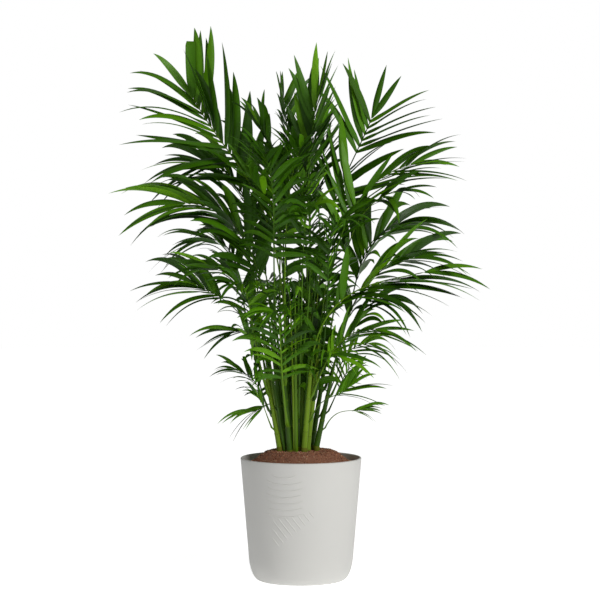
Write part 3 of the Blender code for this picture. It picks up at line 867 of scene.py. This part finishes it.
def relief_lines():
    """The relief's lines as (x, height) points on the pot's front."""
    lines = []
    for rule in range(RULES):
        height = RULE_TOP - RULE_PITCH * rule
        half = RULE_HALF if rule else RULE_SHORT_HALF
        middle = RULE_MIDDLE + RULE_SHIFT * (rule % 3)
        along = np.linspace(middle - half, middle + half, RULE_POINTS)
        lines.append([(x, height - RULE_BOW * (1.0 - ((x - middle) / half) ** 2)) for x in along])
    lengths = [STROKE_SHORTEST + STROKE_GROWTH * number for number in range(STROKES_GROWING)]
    lengths += STROKES_CLOSING
    for number, length in enumerate(lengths):
        share = number / (len(lengths) - 1)
        ends = zip(STROKE_FIRST, STROKE_LAST)
        low_x, low_height = (first + (last - first) * share for first, last in ends)
        steps = np.linspace(length, 0.0, STROKE_POINTS)
        lean, rise = STROKE_SLANT
        lines.append([(low_x + lean * step, low_height + rise * step) for step in steps])
    return lines


class PALM_OT_pot(Operator):
    """Turn the pot and lay the relief lines on its front"""

    bl_idname = "palm.pot"
    bl_label = "Pot"

    def execute(self, context):
        look = context.scene.palm_pot
        glaze = {"roughness": 0.5, "patch_scale": 9.0, "grain_scale": 900.0, "relief": 0.12}
        finish = mottled_material("pot_body", look.colour, look.shade, **glaze)
        pot = turned("pot_body", pot_profile(), look.steps)
        pot.data.materials.append(finish)
        finish_piece(pot, "pot", "pot")
        curve = bpy.data.curves.new("pot_relief", "CURVE")
        curve.dimensions = "3D"
        curve.bevel_depth = look.line_radius
        curve.bevel_resolution = 2
        curve.use_fill_caps = True
        for line in relief_lines():
            spline = curve.splines.new("POLY")
            spline.points.add(len(line) - 1)
            for knot, (x, height) in zip(spline.points, line):
                radius = pot_radius(height) - look.line_sunk
                knot.co = (x, -math.sqrt(radius * radius - x * x), height, 1.0)
            spline.points[0].radius = spline.points[-1].radius = LINE_END_SHARE
        activate(add_object("pot_relief", curve))
        bpy.ops.object.convert(target="MESH")
        bpy.ops.object.shade_smooth()
        relief = context.view_layer.objects.active
        relief.data.materials.clear()
        relief.data.materials.append(finish)
        finish_piece(relief, "pot")
        return {"FINISHED"}


# Soil

SOIL_CLEAR = 0.0006
SOIL_DEPTH = 0.06
SOIL_ROWS = 34
LUMP_SCALE = 0.011
LUMP_DETAIL = 4
LUMPS_FROM_WALL = 0.003
LUMPS_FROM_BELOW = 0.01
COIR_SHADE = 0.5
CHIPS_FROM_WALL = 0.004
CHIP_RADII = (0.0006, 0.0021)
CHIP_WIDTHS = (0.5, 0.9)
CHIP_HEIGHTS = (0.35, 0.8)
CHIP_LIFT = 0.0004
FIBRE_HALVES = (0.0075, 0.00035, 0.0003)
FIBRE_RANGE = (0.5, 1.4)
FIBRE_TILT = 0.06

# The chips' browns, how often each is dealt, and how smooth, rough, raised and glossy they are
CHIP_BROWNS = [
    (0.38, 0.16, 0.09),
    (0.24, 0.095, 0.055),
    (0.50, 0.24, 0.14),
    (0.10, 0.045, 0.03),
    (0.66, 0.44, 0.28),
]
CHIP_SHARES = (0.34, 0.28, 0.2, 0.12, 0.06)
CHIP_SHEEN = (0.75, 0.98, 0.5, 0.12)

# An octahedron
CHIP_CORNERS = np.array([(1, 0, 0), (-1, 0, 0), (0, 1, 0), (0, -1, 0), (0, 0, 1), (0, 0, -1)], float)
CHIP_FACES = np.array(
    [(0, 2, 4), (2, 1, 4), (1, 3, 4), (3, 0, 4), (2, 0, 5), (1, 2, 5), (3, 1, 5), (0, 3, 5)]
)


def soil_height(radius):
    """Height of the mound: flat round the stems, falling in a soft S to the wall."""
    edge_height = POT_HEIGHT - SOIL_BELOW_RIM
    edge_radius = pot_radius(edge_height) - POT_WALL - GAP
    share = (radius - SOIL_PLATEAU_RADIUS) / (edge_radius - SOIL_PLATEAU_RADIUS)
    share = min(max(share, 0.0), 1.0)
    return SOIL_TOP + (0.5 - 0.5 * math.cos(math.pi * share)) * (edge_height - SOIL_TOP)


def chip_points(centres, sizes, turns):
    """Small eight-sided chips: an octahedron for each centre, scaled and then turned by a quaternion."""
    points = CHIP_CORNERS[None] * sizes[:, None, :]
    w, v = turns[:, None, :1], np.broadcast_to(turns[:, None, 1:], points.shape)
    cross = np.cross(v, points)
    return points + 2.0 * (w * cross + np.cross(v, cross)) + centres[:, None, :]


class PALM_OT_soil(Operator):
    """Heap the coir in the pot and strew loose chips and fibres over it"""

    bl_idname = "palm.soil"
    bl_label = "Soil"

    def execute(self, context):
        look = context.scene.palm_soil
        edge = pot_radius(POT_HEIGHT - SOIL_BELOW_RIM) - POT_WALL - SOIL_CLEAR
        deep = POT_HEIGHT - SOIL_DEPTH
        profile = [(float(radius), soil_height(radius)) for radius in np.linspace(0.0, edge, SOIL_ROWS)]
        profile += [(pot_radius(deep) - POT_WALL - SOIL_CLEAR, deep), (0.0, deep)]
        mound = turned("coir_mound", profile, look.steps)
        top = mound.vertex_groups.new(name="top")
        inside, above = edge - LUMPS_FROM_WALL, deep + LUMPS_FROM_BELOW
        vertices = mound.data.vertices
        loose = [v.index for v in vertices if v.co.z > above and v.co.xy.length < inside]
        top.add(loose, 1.0, "REPLACE")
        lumps = bpy.data.textures.new("coir_lumps", "CLOUDS")
        lumps.noise_scale = LUMP_SCALE
        lumps.noise_depth = LUMP_DETAIL
        heave = mound.modifiers.new("Heave", "DISPLACE")
        heave.texture = lumps
        heave.texture_coords = "LOCAL"
        heave.direction = "Z"
        heave.strength = look.clump_height
        heave.vertex_group = top.name
        activate(mound)
        bpy.ops.object.modifier_apply(modifier=heave.name)
        shade = tuple(COIR_SHADE * value for value in look.colour)
        rough = {"roughness": 0.95, "patch_scale": 160.0, "grain_scale": 700.0, "relief": 0.9}
        mound.data.materials.append(mottled_material("coir", look.colour, shade, **rough))
        finish_piece(mound, "soil", "potting_soil")
        self.strew(mound, edge, look)
        return {"FINISHED"}

    def strew(self, mound, edge, look):
        """Chips and fibres seated on the mound, in one joined piece of five browns."""
        spray = np.random.default_rng(SEED)
        count = look.granules + look.fibres
        fibre = np.arange(count) >= look.granules
        reach = (edge - CHIPS_FROM_WALL) * np.sqrt(spray.random(count))
        azimuth = spray.random(count) * math.tau
        places = np.stack([reach * np.cos(azimuth), reach * np.sin(azimuth)], 1)
        faces = [tuple(face.vertices) for face in mound.data.polygons]
        surface = BVHTree.FromPolygons([vertex.co for vertex in mound.data.vertices], faces)
        tops = [surface.ray_cast(Vector((x, y, 1.0)), -UP)[0].z + CHIP_LIFT for x, y in places]
        size = spray.uniform(*CHIP_RADII, count)[:, None]
        widths, heights = spray.uniform(*CHIP_WIDTHS, count), spray.uniform(*CHIP_HEIGHTS, count)
        sizes = size * np.stack([np.ones(count), widths, heights], 1)
        sizes[fibre] = np.array(FIBRE_HALVES) * spray.uniform(*FIBRE_RANGE, (fibre.sum(), 1))
        turns = spray.normal(size=(count, 4))
        turns[fibre, 1:3] *= FIBRE_TILT
        turns /= np.linalg.norm(turns, axis=1, keepdims=True)
        points = chip_points(np.column_stack([places, tops]), sizes, turns).reshape(-1, 3)
        faces = (CHIP_FACES[None] + len(CHIP_CORNERS) * np.arange(count)[:, None, None]).reshape(-1, 3)
        palest = len(CHIP_BROWNS) - 1
        kinds = np.where(fibre, palest, spray.choice(len(CHIP_BROWNS), count, p=CHIP_SHARES))
        names = [f"coir_chip_{number + 1}" for number in range(len(CHIP_BROWNS))]
        finishes = [(name, brown, *CHIP_SHEEN) for name, brown in zip(names, CHIP_BROWNS)]
        mesh = joined_mesh("coir_chips", points, faces, [np.repeat(kinds, len(CHIP_FACES))], finishes)
        finish_piece(add_object("coir_chips", mesh), "soil")


# Canes and shoots. A finish is a name, a colour, and how smooth and how rough its patches are

# The light, mid and deep greens are one green in lit and shaded steps: painted light and shade
CANE_FINISHES = [
    ("cane_lit", (0.1650, 0.2912, 0.0093), 0.30, 0.48),
    ("cane_mid", (0.0948, 0.2058, 0.0060), 0.30, 0.48),
    ("cane_shaded", (0.0421, 0.1126, 0.0033), 0.32, 0.50),
    ("cane_scar", (0.1158, 0.1825, 0.0090), 0.50, 0.70),
    ("cane_sheath", (0.1334, 0.1553, 0.0090), 0.60, 0.85),
]
GREENS, SCAR, SHEATH = (0, 1, 2), 3, 4

# Rows of a cane, as a height from its foot, a scar or its end, and a share of its radius
CANE_FOOT = ((-0.006, 1.16), (0.004, 1.14), (0.010, 1.04))
CANE_END = ((-0.010, 1.0), (0.003, 0.72), (0.012, 0.30))
SCAR_BELOW = 0.0024
SCAR_HALF = 0.0007
SCAR_ABOVE = (0.0032, 0.96)
SCARS_FROM_END = 0.012
FIRST_SCAR = (0.3, 0.9)
SCAR_PITCHES = (0.75, 1.3)
SHEATHED_SHARE = 0.5

# How often each green is dealt to the canes in front and behind, and to the shoots; the canes in front take
# more of the lit green and those behind more of the deep one, as painted light and shade
FRONT_CANES_LIT = (5, 3, 1)
BACK_CANES_SHADED = (2, 3, 3)
SHOOT_GREENS = (3, 4, 1)

# Shoots, with their lengths in metres and the rest as shares or in radians
SHOOT_HEIGHTS = (0.22, 0.40)
SHOOT_WIDTHS = (0.0055, 0.0090)
SHOOT_BOWS = (0.1, 0.5)
SHOOT_LEAFLETS = (0.07, 0.115)
SHOOT_LEAFLET_WIDTH = 0.125
SHOOT_LEAFLET_FALLS = (0.25, 0.6)
SHOOT_PLACES = (0.3, 0.7)
SHOOT_ROWS = 18
SHOOT_SUNK = 0.04
SHOOT_TAPER = 0.7
SHOOT_TURN = 0.4
SHOOT_OPENINGS = (0.6, 1.0)
SHOOT_CLOSING = 0.2
TIP_SHARE = 0.3


def cane_rows(stem, kind, look, chance):
    """(height, share of the radius, finish of the faces above) up a cane with its leaf scars."""
    swell = 1.0 + look.ring_swell
    collar = SHEATH if chance.random() < SHEATHED_SHARE else kind
    rows = [(*row, finish) for row, finish in zip(CANE_FOOT, (SHEATH, collar, kind))]
    height = SCARS_FROM_END + look.ring_pitch * chance.uniform(*FIRST_SCAR)
    while height < stem.height - SCARS_FROM_END:
        rows += [(height - SCAR_BELOW, 1.0, kind), (height - SCAR_HALF, swell, SCAR)]
        rows += [(height + SCAR_HALF, swell, kind), (height + SCAR_ABOVE[0], SCAR_ABOVE[1], kind)]
        height += look.ring_pitch * chance.uniform(*SCAR_PITCHES)
    return rows + [(stem.height + rise, share, kind) for rise, share in CANE_END]


class Shoot:
    """A slim young frond that rises between two canes and leans as they do."""

    def __init__(self, near, far, chance):
        share = chance.uniform(*SHOOT_PLACES)
        self.foot = near.point(0.0).lerp(far.point(0.0), share)
        self.lean = near.direction.lerp(far.direction, share).normalized()
        self.height = chance.uniform(*SHOOT_HEIGHTS)
        self.bow = Vector((self.lean.x, self.lean.y, 0.0)) * chance.uniform(*SHOOT_BOWS)
        self.width = chance.uniform(*SHOOT_WIDTHS)
        self.facing = chance.uniform(-math.pi, math.pi)

    def point(self, share):
        return self.foot + (self.lean + self.bow * share) * (self.height * share)

    def along(self, share):
        return (self.lean + self.bow * (2.0 * share)).normalized()

    def grid(self, sides):
        shares = np.linspace(-SHOOT_SUNK, 1.0, SHOOT_ROWS)
        centres = np.array([self.point(float(share)) for share in shares])
        widths = self.width * (1.0 - SHOOT_TAPER * shares)
        widths[-1] *= TIP_SHARE
        return leaning_tube(centres, self.lean, widths, sides)

    def leaflets(self, look, chance):
        """Short leaflets in pairs up the shoot's end, of which the last pair closes it."""
        grids = []
        for pair in range(look.shoot_pairs + 1):
            share = 0.5 + 0.5 * pair / look.shoot_pairs
            along = self.along(share)
            facing = self.facing + chance.uniform(-SHOOT_TURN, SHOOT_TURN)
            spread = Quaternion(along, facing) @ along.orthogonal().normalized()
            for side in (1.0, -1.0):
                opening = chance.uniform(*SHOOT_OPENINGS)
                if pair == look.shoot_pairs:
                    opening *= SHOOT_CLOSING
                heading = (along + spread * (side * opening)).normalized()
                crossing = (spread - heading * heading.dot(spread)).normalized() * side
                length = chance.uniform(*SHOOT_LEAFLETS)
                fall = chance.uniform(*SHOOT_LEAFLET_FALLS)
                leaf = heading, crossing, length, length * SHOOT_LEAFLET_WIDTH, fall
                grids.append(leaflet_grid(self.point(share), crossing, leaf, look, chance, side))
        return grids


def grown_shoots(stems, count):
    """Shoots between pairs of canes that step round the clump."""
    chance = random.Random(SEED + 3)
    return [Shoot(stems[n % len(stems)], stems[(5 * n + 3) % len(stems)], chance) for n in range(count)]


class PALM_OT_canes(Operator):
    """Draw the clump of ringed canes and the slim shoots between them"""

    bl_idname = "palm.canes"
    bl_label = "Canes"

    def execute(self, context):
        look = context.scene.palm_cane
        chance = random.Random(SEED + 1)
        stems, _ = grown_plant()
        joined = Joined()
        for stem in stems:
            # Canes in front are dealt lighter greens and canes behind deeper ones: painted light and shade
            kind = chance.choices(GREENS, FRONT_CANES_LIT if stem.foot.y < 0.0 else BACK_CANES_SHADED)[0]
            rows = cane_rows(stem, kind, look, chance)
            centres = np.array([stem.point(height) for height, _, _ in rows])
            widths = np.array([2.0 * share * stem.radius(max(height, 0.0)) for height, share, _ in rows])
            grid = leaning_tube(centres, stem.direction, widths, look.sides)
            joined.add_grid(grid, [finish for _, _, finish in rows[:-1]], closed=True)
        for shoot in grown_shoots(stems, look.shoots):
            joined.add_grid(shoot.grid(look.sides), chance.choices(GREENS, SHOOT_GREENS)[0], closed=True)
        names = [f"stem_{number + 1:02d}" for number in range(len(stems))]
        finish_piece(joined.build("canes", CANE_FINISHES), "stem", *names)
        return {"FINISHED"}


# Fronds

# The first five greens are one green in shaded and lit steps: painted light and shade
LEAF_FINISHES = [
    ("leaf_deep_shade", (0.0214, 0.0744, 0.0010), 0.26, 0.46),
    ("leaf_shade", (0.0339, 0.1164, 0.0013), 0.26, 0.46),
    ("leaf_mid", (0.0519, 0.1666, 0.0016), 0.28, 0.48),
    ("leaf_lit", (0.0835, 0.2426, 0.0019), 0.30, 0.50),
    # The brightest green stands in for light shining through the leaf: painted light
    ("leaf_painted_glow", (0.1354, 0.3477, 0.0026), 0.32, 0.52),
    # The bluish green stands in for the sheen of light on the leaf: a painted sheen
    ("leaf_painted_sheen", (0.0406, 0.1213, 0.0033), 0.22, 0.40),
]
# The rib greens are one green in lit and shaded steps: painted light and shade
RIB_FINISHES = [
    ("rib_lit", (0.1193, 0.2485, 0.0067), 0.30, 0.48),
    ("rib_mid", (0.0632, 0.1592, 0.0042), 0.30, 0.48),
    ("rib_shaded", (0.0267, 0.0815, 0.0024), 0.32, 0.50),
]
# Ribs of fronds in front take more of the lit green and ribs behind more of the deep one: painted light and
# shade
FRONT_RIBS_LIT = (3, 4, 1)
BACK_RIBS_SHADED = (1, 3, 3)

# How often each green is dealt: more of the lit greens low down and on the shoots, more of the deep ones
# inside, as painted light and shade
LOW_FROND, LOW_LIT_GREENS = 0.56, (1, 3, 6, 8, 4, 0)
TOP_FROND, TOP_GREENS = 0.90, (2, 6, 8, 4, 1, 2)
INNER_SHADED_GREENS = (5, 7, 6, 3, 1, 2)
OUTER_GREENS = (4, 7, 6, 3, 1, 3)
SHOOT_LEAF_GREENS = (3, 5, 7, 5, 2, 1)

# A leaflet: how deep its foot sits in the rib, its form, and how far it may differ from the solid one
ROOT_IN = 0.0045
WIDEST_AT = 0.34
FOOT_WIDTH = 0.22
POINT_POWER = 1.9
POINT_WIDTH = 0.012
BLADE_COLUMNS = np.array((-1.0, -0.55, 0.0, 0.55, 1.0))
TURNED_BY = 0.3
SWING = 4.0
FANNING = 7.0
ROLLING = 24.0
FIRST_LENGTHS = (0.86, 1.0)
WIDTHS = (0.85, 1.1)
FALLS = (0.85, 1.15)
CURLS = (0.2, 1.6)
FOLDS = (0.6, 1.3)
FOLD_OPENS = 0.5
END_OPENING = (7.0, 15.0)
END_LENGTH = 0.64
END_LENGTHS = (0.85, 1.0)
END_WIDTH = 0.8

# The broad leaflet with a cut end at the top left
BLUNT_LENGTH = 0.115
BLUNT_WIDTH = 0.021
BLUNT_HEADING = Vector((-0.13, -0.05, 0.99)).normalized()
BLUNT_FROM = 0.985
BLUNT_END = 0.80

STALK_ROWS = 24
BLADE_ROWS = 26
RIB_SHARE = 0.86
ROOT_SWELL = 0.75
ROOT_SWELL_LENGTH = 0.022
RIB_DEPTH = 0.85
ROOT_BELOW = 0.012
ROOT_SHARE = 0.8


def leaf_shares(number, frond):
    """How often each green is dealt to a frond's leaflets: lit greens low down and deeper greens on inner
    fronds, as painted light and shade.
    """
    if frond.tip[2] < LOW_FROND:
        return LOW_LIT_GREENS
    if number >= len(OUTLINE_FRONDS):
        return INNER_SHADED_GREENS
    return TOP_GREENS if frond.tip[2] > TOP_FROND else OUTER_GREENS


def blade_width(shares, blunt):
    """Width up a leaflet as a share of its widest: a narrow foot, widest at a third, and a long point."""
    foot = FOOT_WIDTH + (1.0 - FOOT_WIDTH) * np.sin(np.clip(shares / WIDEST_AT, 0.0, 1.0) * math.pi / 2.0)
    if blunt:
        return foot * np.where(shares > BLUNT_FROM, BLUNT_END, 1.0)
    beyond = np.clip((shares - WIDEST_AT) / (1.0 - WIDEST_AT), 0.0, 1.0)
    return foot * (1.0 - beyond ** POINT_POWER) + POINT_WIDTH


def leaflet_grid(foot, along, leaf, look, chance, up_side, blunt=False):
    """Rows of five points from the foot on the rib to the tip, folded down from the midrib.

    leaf is (heading, crossing, length, width, fall).
    """
    heading, crossing, length, width, fall = leaf
    shares = np.linspace(0.0, 1.0, look.rows + 1)
    sweep = look.sweep * chance.uniform(-1.0, 1.0)
    curl = look.curl * chance.uniform(*CURLS) * (0.0 if blunt else 1.0)
    out = np.array(heading)[None] * (length * shares * (1.0 - FALL_SHORTENS * fall * shares))[:, None]
    drop = np.array(UP)[None] * (length * (fall * shares ** 2 + curl * shares ** 3))[:, None]
    bow = np.array(crossing)[None] * (length * sweep * shares * shares)[:, None]
    centres = np.array(foot)[None] + out - drop + bow
    tangents = np.gradient(centres, axis=0)
    tangents /= np.linalg.norm(tangents, axis=1, keepdims=True)
    blend = np.clip(shares / TURNED_BY, 0.0, 1.0)
    blend = (blend * blend * (3.0 - 2.0 * blend))[:, None]
    across = np.array(along)[None] * (1.0 - blend) + np.array(crossing)[None] * blend
    across = across - tangents * (across * tangents).sum(1, keepdims=True)
    across /= np.linalg.norm(across, axis=1, keepdims=True)
    normals = np.cross(tangents, across) * up_side
    half = width * blade_width(shares, blunt) / 2.0
    fold = look.fold * chance.uniform(*FOLDS) * (1.0 - FOLD_OPENS * shares)
    aside = (half * np.cos(fold))[:, None] * BLADE_COLUMNS[None]
    down = (half * np.sin(fold))[:, None] * np.abs(BLADE_COLUMNS)[None]
    return centres[:, None] + across[:, None] * aside[..., None] - normals[:, None] * down[..., None]


def rib_grid(rib, stem, leaves, sides):
    """The rounded stalk and rib, from inside the cane to a fine end."""
    stalk = np.linspace(0.0, rib.blade_start, STALK_ROWS)
    distances = np.concatenate([stalk, np.linspace(rib.blade_start, rib.length, BLADE_ROWS)[1:]])
    frames = [rib.frame(float(distance)) for distance in distances]
    centres, _, asides, normals = (np.array([[*vector] for vector in column]) for column in zip(*frames))
    widths = np.array([rib.width(float(distance)) for distance in distances])
    widths *= RIB_SHARE + ROOT_SWELL * np.exp(-distances / ROOT_SWELL_LENGTH)
    root = np.array(stem.point(max(leaves - ROOT_BELOW, 0.0)))
    centres = np.concatenate([root[None], centres])
    asides = np.concatenate([asides[:1], asides])
    normals = np.concatenate([normals[:1], normals])
    widths = np.concatenate([widths[:1] * ROOT_SHARE, widths])
    widths[-1] *= TIP_SHARE
    return tube(centres, asides, normals, widths, widths * RIB_DEPTH, sides)


def frond_leaflets(frond, rib, leaflets, look, chance):
    """The grid of points of each fine leaflet of a frond, and of the pair that ends it."""
    grids = []
    for (_, side), solid in leaflets.items():
        up_side = -1.0 if side else 1.0
        along = (solid.far - solid.near).normalized()
        plane = solid.heading.cross(solid.crossing) * up_side
        for part in range(look.per_slot):
            share = (part + 0.5) / look.per_slot
            swing = chance.uniform(-SWING, SWING) - up_side * FANNING * (share - 0.5)
            turn = Quaternion(plane, math.radians(swing))
            heading = turn @ solid.heading
            roll = Quaternion(heading, math.radians(chance.uniform(-ROLLING, ROLLING)))
            foot = solid.near.lerp(solid.far, share) - heading * ROOT_IN
            length = ROOT_IN + solid.length * (1.0 if part else chance.uniform(*FIRST_LENGTHS))
            width = solid.width * look.width * chance.uniform(*WIDTHS)
            fall = solid.fall * chance.uniform(*FALLS)
            leaf = heading, roll @ (turn @ solid.crossing), length, width, fall
            grids.append(leaflet_grid(foot, along, leaf, look, chance, up_side))
    point, along, aside, normal = rib.frame(rib.length)
    for side in (1.0, -1.0):
        heading = Quaternion(normal, math.radians(side * chance.uniform(*END_OPENING))) @ along
        blunt = side < 0.0 and frond is OUTLINE_FRONDS[0]
        if blunt:
            heading, length, width, fall = BLUNT_HEADING, BLUNT_LENGTH, BLUNT_WIDTH, 0.0
            aside = Vector((1.0, 0.0, 0.0))
        else:
            length = END_LENGTH * frond.leaflet * chance.uniform(*END_LENGTHS)
            width = frond.leaflet * LEAFLET_WIDTH_SHARE * look.width * END_WIDTH
            fall = frond.droop
        crossing = (aside - heading * aside.dot(heading)).normalized()
        leaf = heading, crossing, length, width, fall
        grids.append(leaflet_grid(point, crossing, leaf, look, chance, 1.0, blunt))
    return grids


class PALM_OT_fronds(Operator):
    """Draw each frond's rounded rib and its fine folded leaflets"""

    bl_idname = "palm.fronds"
    bl_label = "Fronds"

    def execute(self, context):
        look = context.scene.palm_frond
        chance = random.Random(SEED + 2)
        stems, fronds = grown_plant()
        ribs, outer, inner = Joined(), Joined(), Joined()
        greens = range(len(LEAF_FINISHES))
        for number, (frond, rib, leaves, leaflets) in enumerate(fronds):
            # Ribs in front are dealt lighter greens and ribs behind deeper ones: painted light and shade
            kind = chance.choices(GREENS, FRONT_RIBS_LIT if frond.tip[1] < 0.0 else BACK_RIBS_SHADED)[0]
            ribs.add_grid(rib_grid(rib, stems[frond.stem], leaves, look.rib_sides), kind, closed=True)
            blades = outer if number < len(OUTLINE_FRONDS) else inner
            shares = leaf_shares(number, frond)
            for grid in frond_leaflets(frond, rib, leaflets, look, chance):
                blades.add_grid(grid, chance.choices(greens, shares)[0])
        for shoot in grown_shoots(stems, context.scene.palm_cane.shoots):
            for grid in shoot.leaflets(look, chance):
                inner.add_grid(grid, chance.choices(greens, SHOOT_LEAF_GREENS)[0])
        names = [f"frond_{number + 1:02d}" for number in range(len(fronds))]
        finish_piece(outer.build("leaflets_outer", LEAF_FINISHES), "frond", *names[: len(OUTLINE_FRONDS)])
        finish_piece(inner.build("leaflets_inner", LEAF_FINISHES), "frond", *names[len(OUTLINE_FRONDS) :])
        finish_piece(ribs.build("frond_ribs", RIB_FINISHES), "frond")
        return {"FINISHED"}


# Stage

MIDDLE = Vector((0.0, 0.0, 0.6))
WHITE = (1.0, 1.0, 1.0, 1.0)


def soft_light(name, place, size, power, colour):
    """A round area light that faces the middle of the plant."""
    lamp = bpy.data.lights.new(name, "AREA")
    lamp.shape = "DISK"
    lamp.size = size
    lamp.energy = power
    lamp.color = colour
    made = add_object(name, lamp)
    made.location = place
    made.rotation_euler = (MIDDLE - Vector(place)).to_track_quat("-Z", "Y").to_euler()


class PALM_OT_stage(Operator):
    """Set the pale floor, the soft lights and the camera"""

    bl_idname = "palm.stage"
    bl_label = "Stage"

    def execute(self, context):
        look = context.scene.palm_stage
        bpy.ops.object.select_all(action="DESELECT")
        bpy.ops.mesh.primitive_circle_add(vertices=96, radius=look.floor_radius, fill_type="NGON")
        backdrop = context.active_object
        backdrop.name = "studio_floor"
        paper = {"Base_Color": (0.92, 0.92, 0.92, 1.0), "Emission_Color": WHITE, "Roughness": 0.9}
        finish, shader = new_material("backdrop_paper", **paper)
        tree = finish.node_tree
        path = add_node(tree, "LightPath")
        glow = add_node(tree, "MapRange", To_Min=look.glow, To_Max=look.floor_seen)
        wire(tree, (path, "Is Camera Ray", glow, "Value"), (glow, "Result", shader, "Emission Strength"))
        backdrop.data.materials.append(finish)
        soft_light("key", (2.3, -2.6, 2.7), 1.6, look.key_power, (1.0, 0.99, 0.97))
        soft_light("fill", (-2.8, -2.2, 1.5), 2.2, look.fill_power, (0.97, 0.99, 1.0))
        self.light_sky(context.scene, look)
        camera = bpy.data.cameras.new("camera")
        camera.lens = look.lens
        camera.sensor_width = 36.0
        camera.clip_end = 60.0
        made = add_object("camera", camera)
        made.location = (look.aside, -look.distance, look.eye_height)
        made.rotation_euler = (math.pi / 2.0 - look.pitch, 0.0, 0.0)
        context.scene.camera = made
        context.scene.view_settings.view_transform = "Standard"
        return {"FINISHED"}

    def light_sky(self, scene, look):
        """Even light from all round, and a white space behind the plant."""
        scene.world = scene.world or bpy.data.worlds.new("even_light")
        scene.world.use_nodes = True
        tree = scene.world.node_tree
        tree.nodes.clear()
        even = add_node(tree, "Background", Color=WHITE, Strength=look.sky)
        seen = add_node(tree, "Background", Color=WHITE, Strength=look.backdrop)
        path, mix, surface = (add_node(tree, kind) for kind in ("LightPath", "MixShader", "OutputWorld"))
        wire(
            tree,
            (path, "Is Camera Ray", mix, "Fac"),
            (even, "Background", mix, 1),
            (seen, "Background", mix, 2),
            (mix, "Shader", surface, "Surface"),
        )


# The add-on

SETTINGS = {
    "palm_pot": (PalmPotSettings, "palm.pot"),
    "palm_soil": (PalmSoilSettings, "palm.soil"),
    "palm_cane": (PalmCaneSettings, "palm.canes"),
    "palm_frond": (PalmFrondSettings, "palm.fronds"),
    "palm_stage": (PalmStageSettings, "palm.stage"),
}


class PALM_PT_panel(Panel):
    """The pieces of the palm, each with its settings"""

    bl_idname = "PALM_PT_panel"
    bl_label = "Potted Palm"
    bl_space_type = "VIEW_3D"
    bl_region_type = "UI"
    bl_category = "Palm"

    def draw(self, context):
        for name, (settings, operator) in SETTINGS.items():
            box = self.layout.box()
            box.operator(operator)
            for setting in settings.__annotations__:
                box.prop(getattr(context.scene, name), setting)


OPERATORS = [PALM_OT_pot, PALM_OT_soil, PALM_OT_canes, PALM_OT_fronds, PALM_OT_stage]
CLASSES = [settings for settings, _ in SETTINGS.values()] + OPERATORS + [PALM_PT_panel]


def register():
    for made in CLASSES:
        bpy.utils.register_class(made)
    for name, (settings, _) in SETTINGS.items():
        setattr(bpy.types.Scene, name, PointerProperty(type=settings))


def unregister():
    for name in SETTINGS:
        delattr(bpy.types.Scene, name)
    for made in reversed(CLASSES):
        bpy.utils.unregister_class(made)


def main():
    register()
    bpy.ops.palm.pot()
    bpy.ops.palm.soil()
    bpy.ops.palm.canes()
    bpy.ops.palm.fronds()
    bpy.ops.palm.stage()


if __name__ == "__main__":
    main()
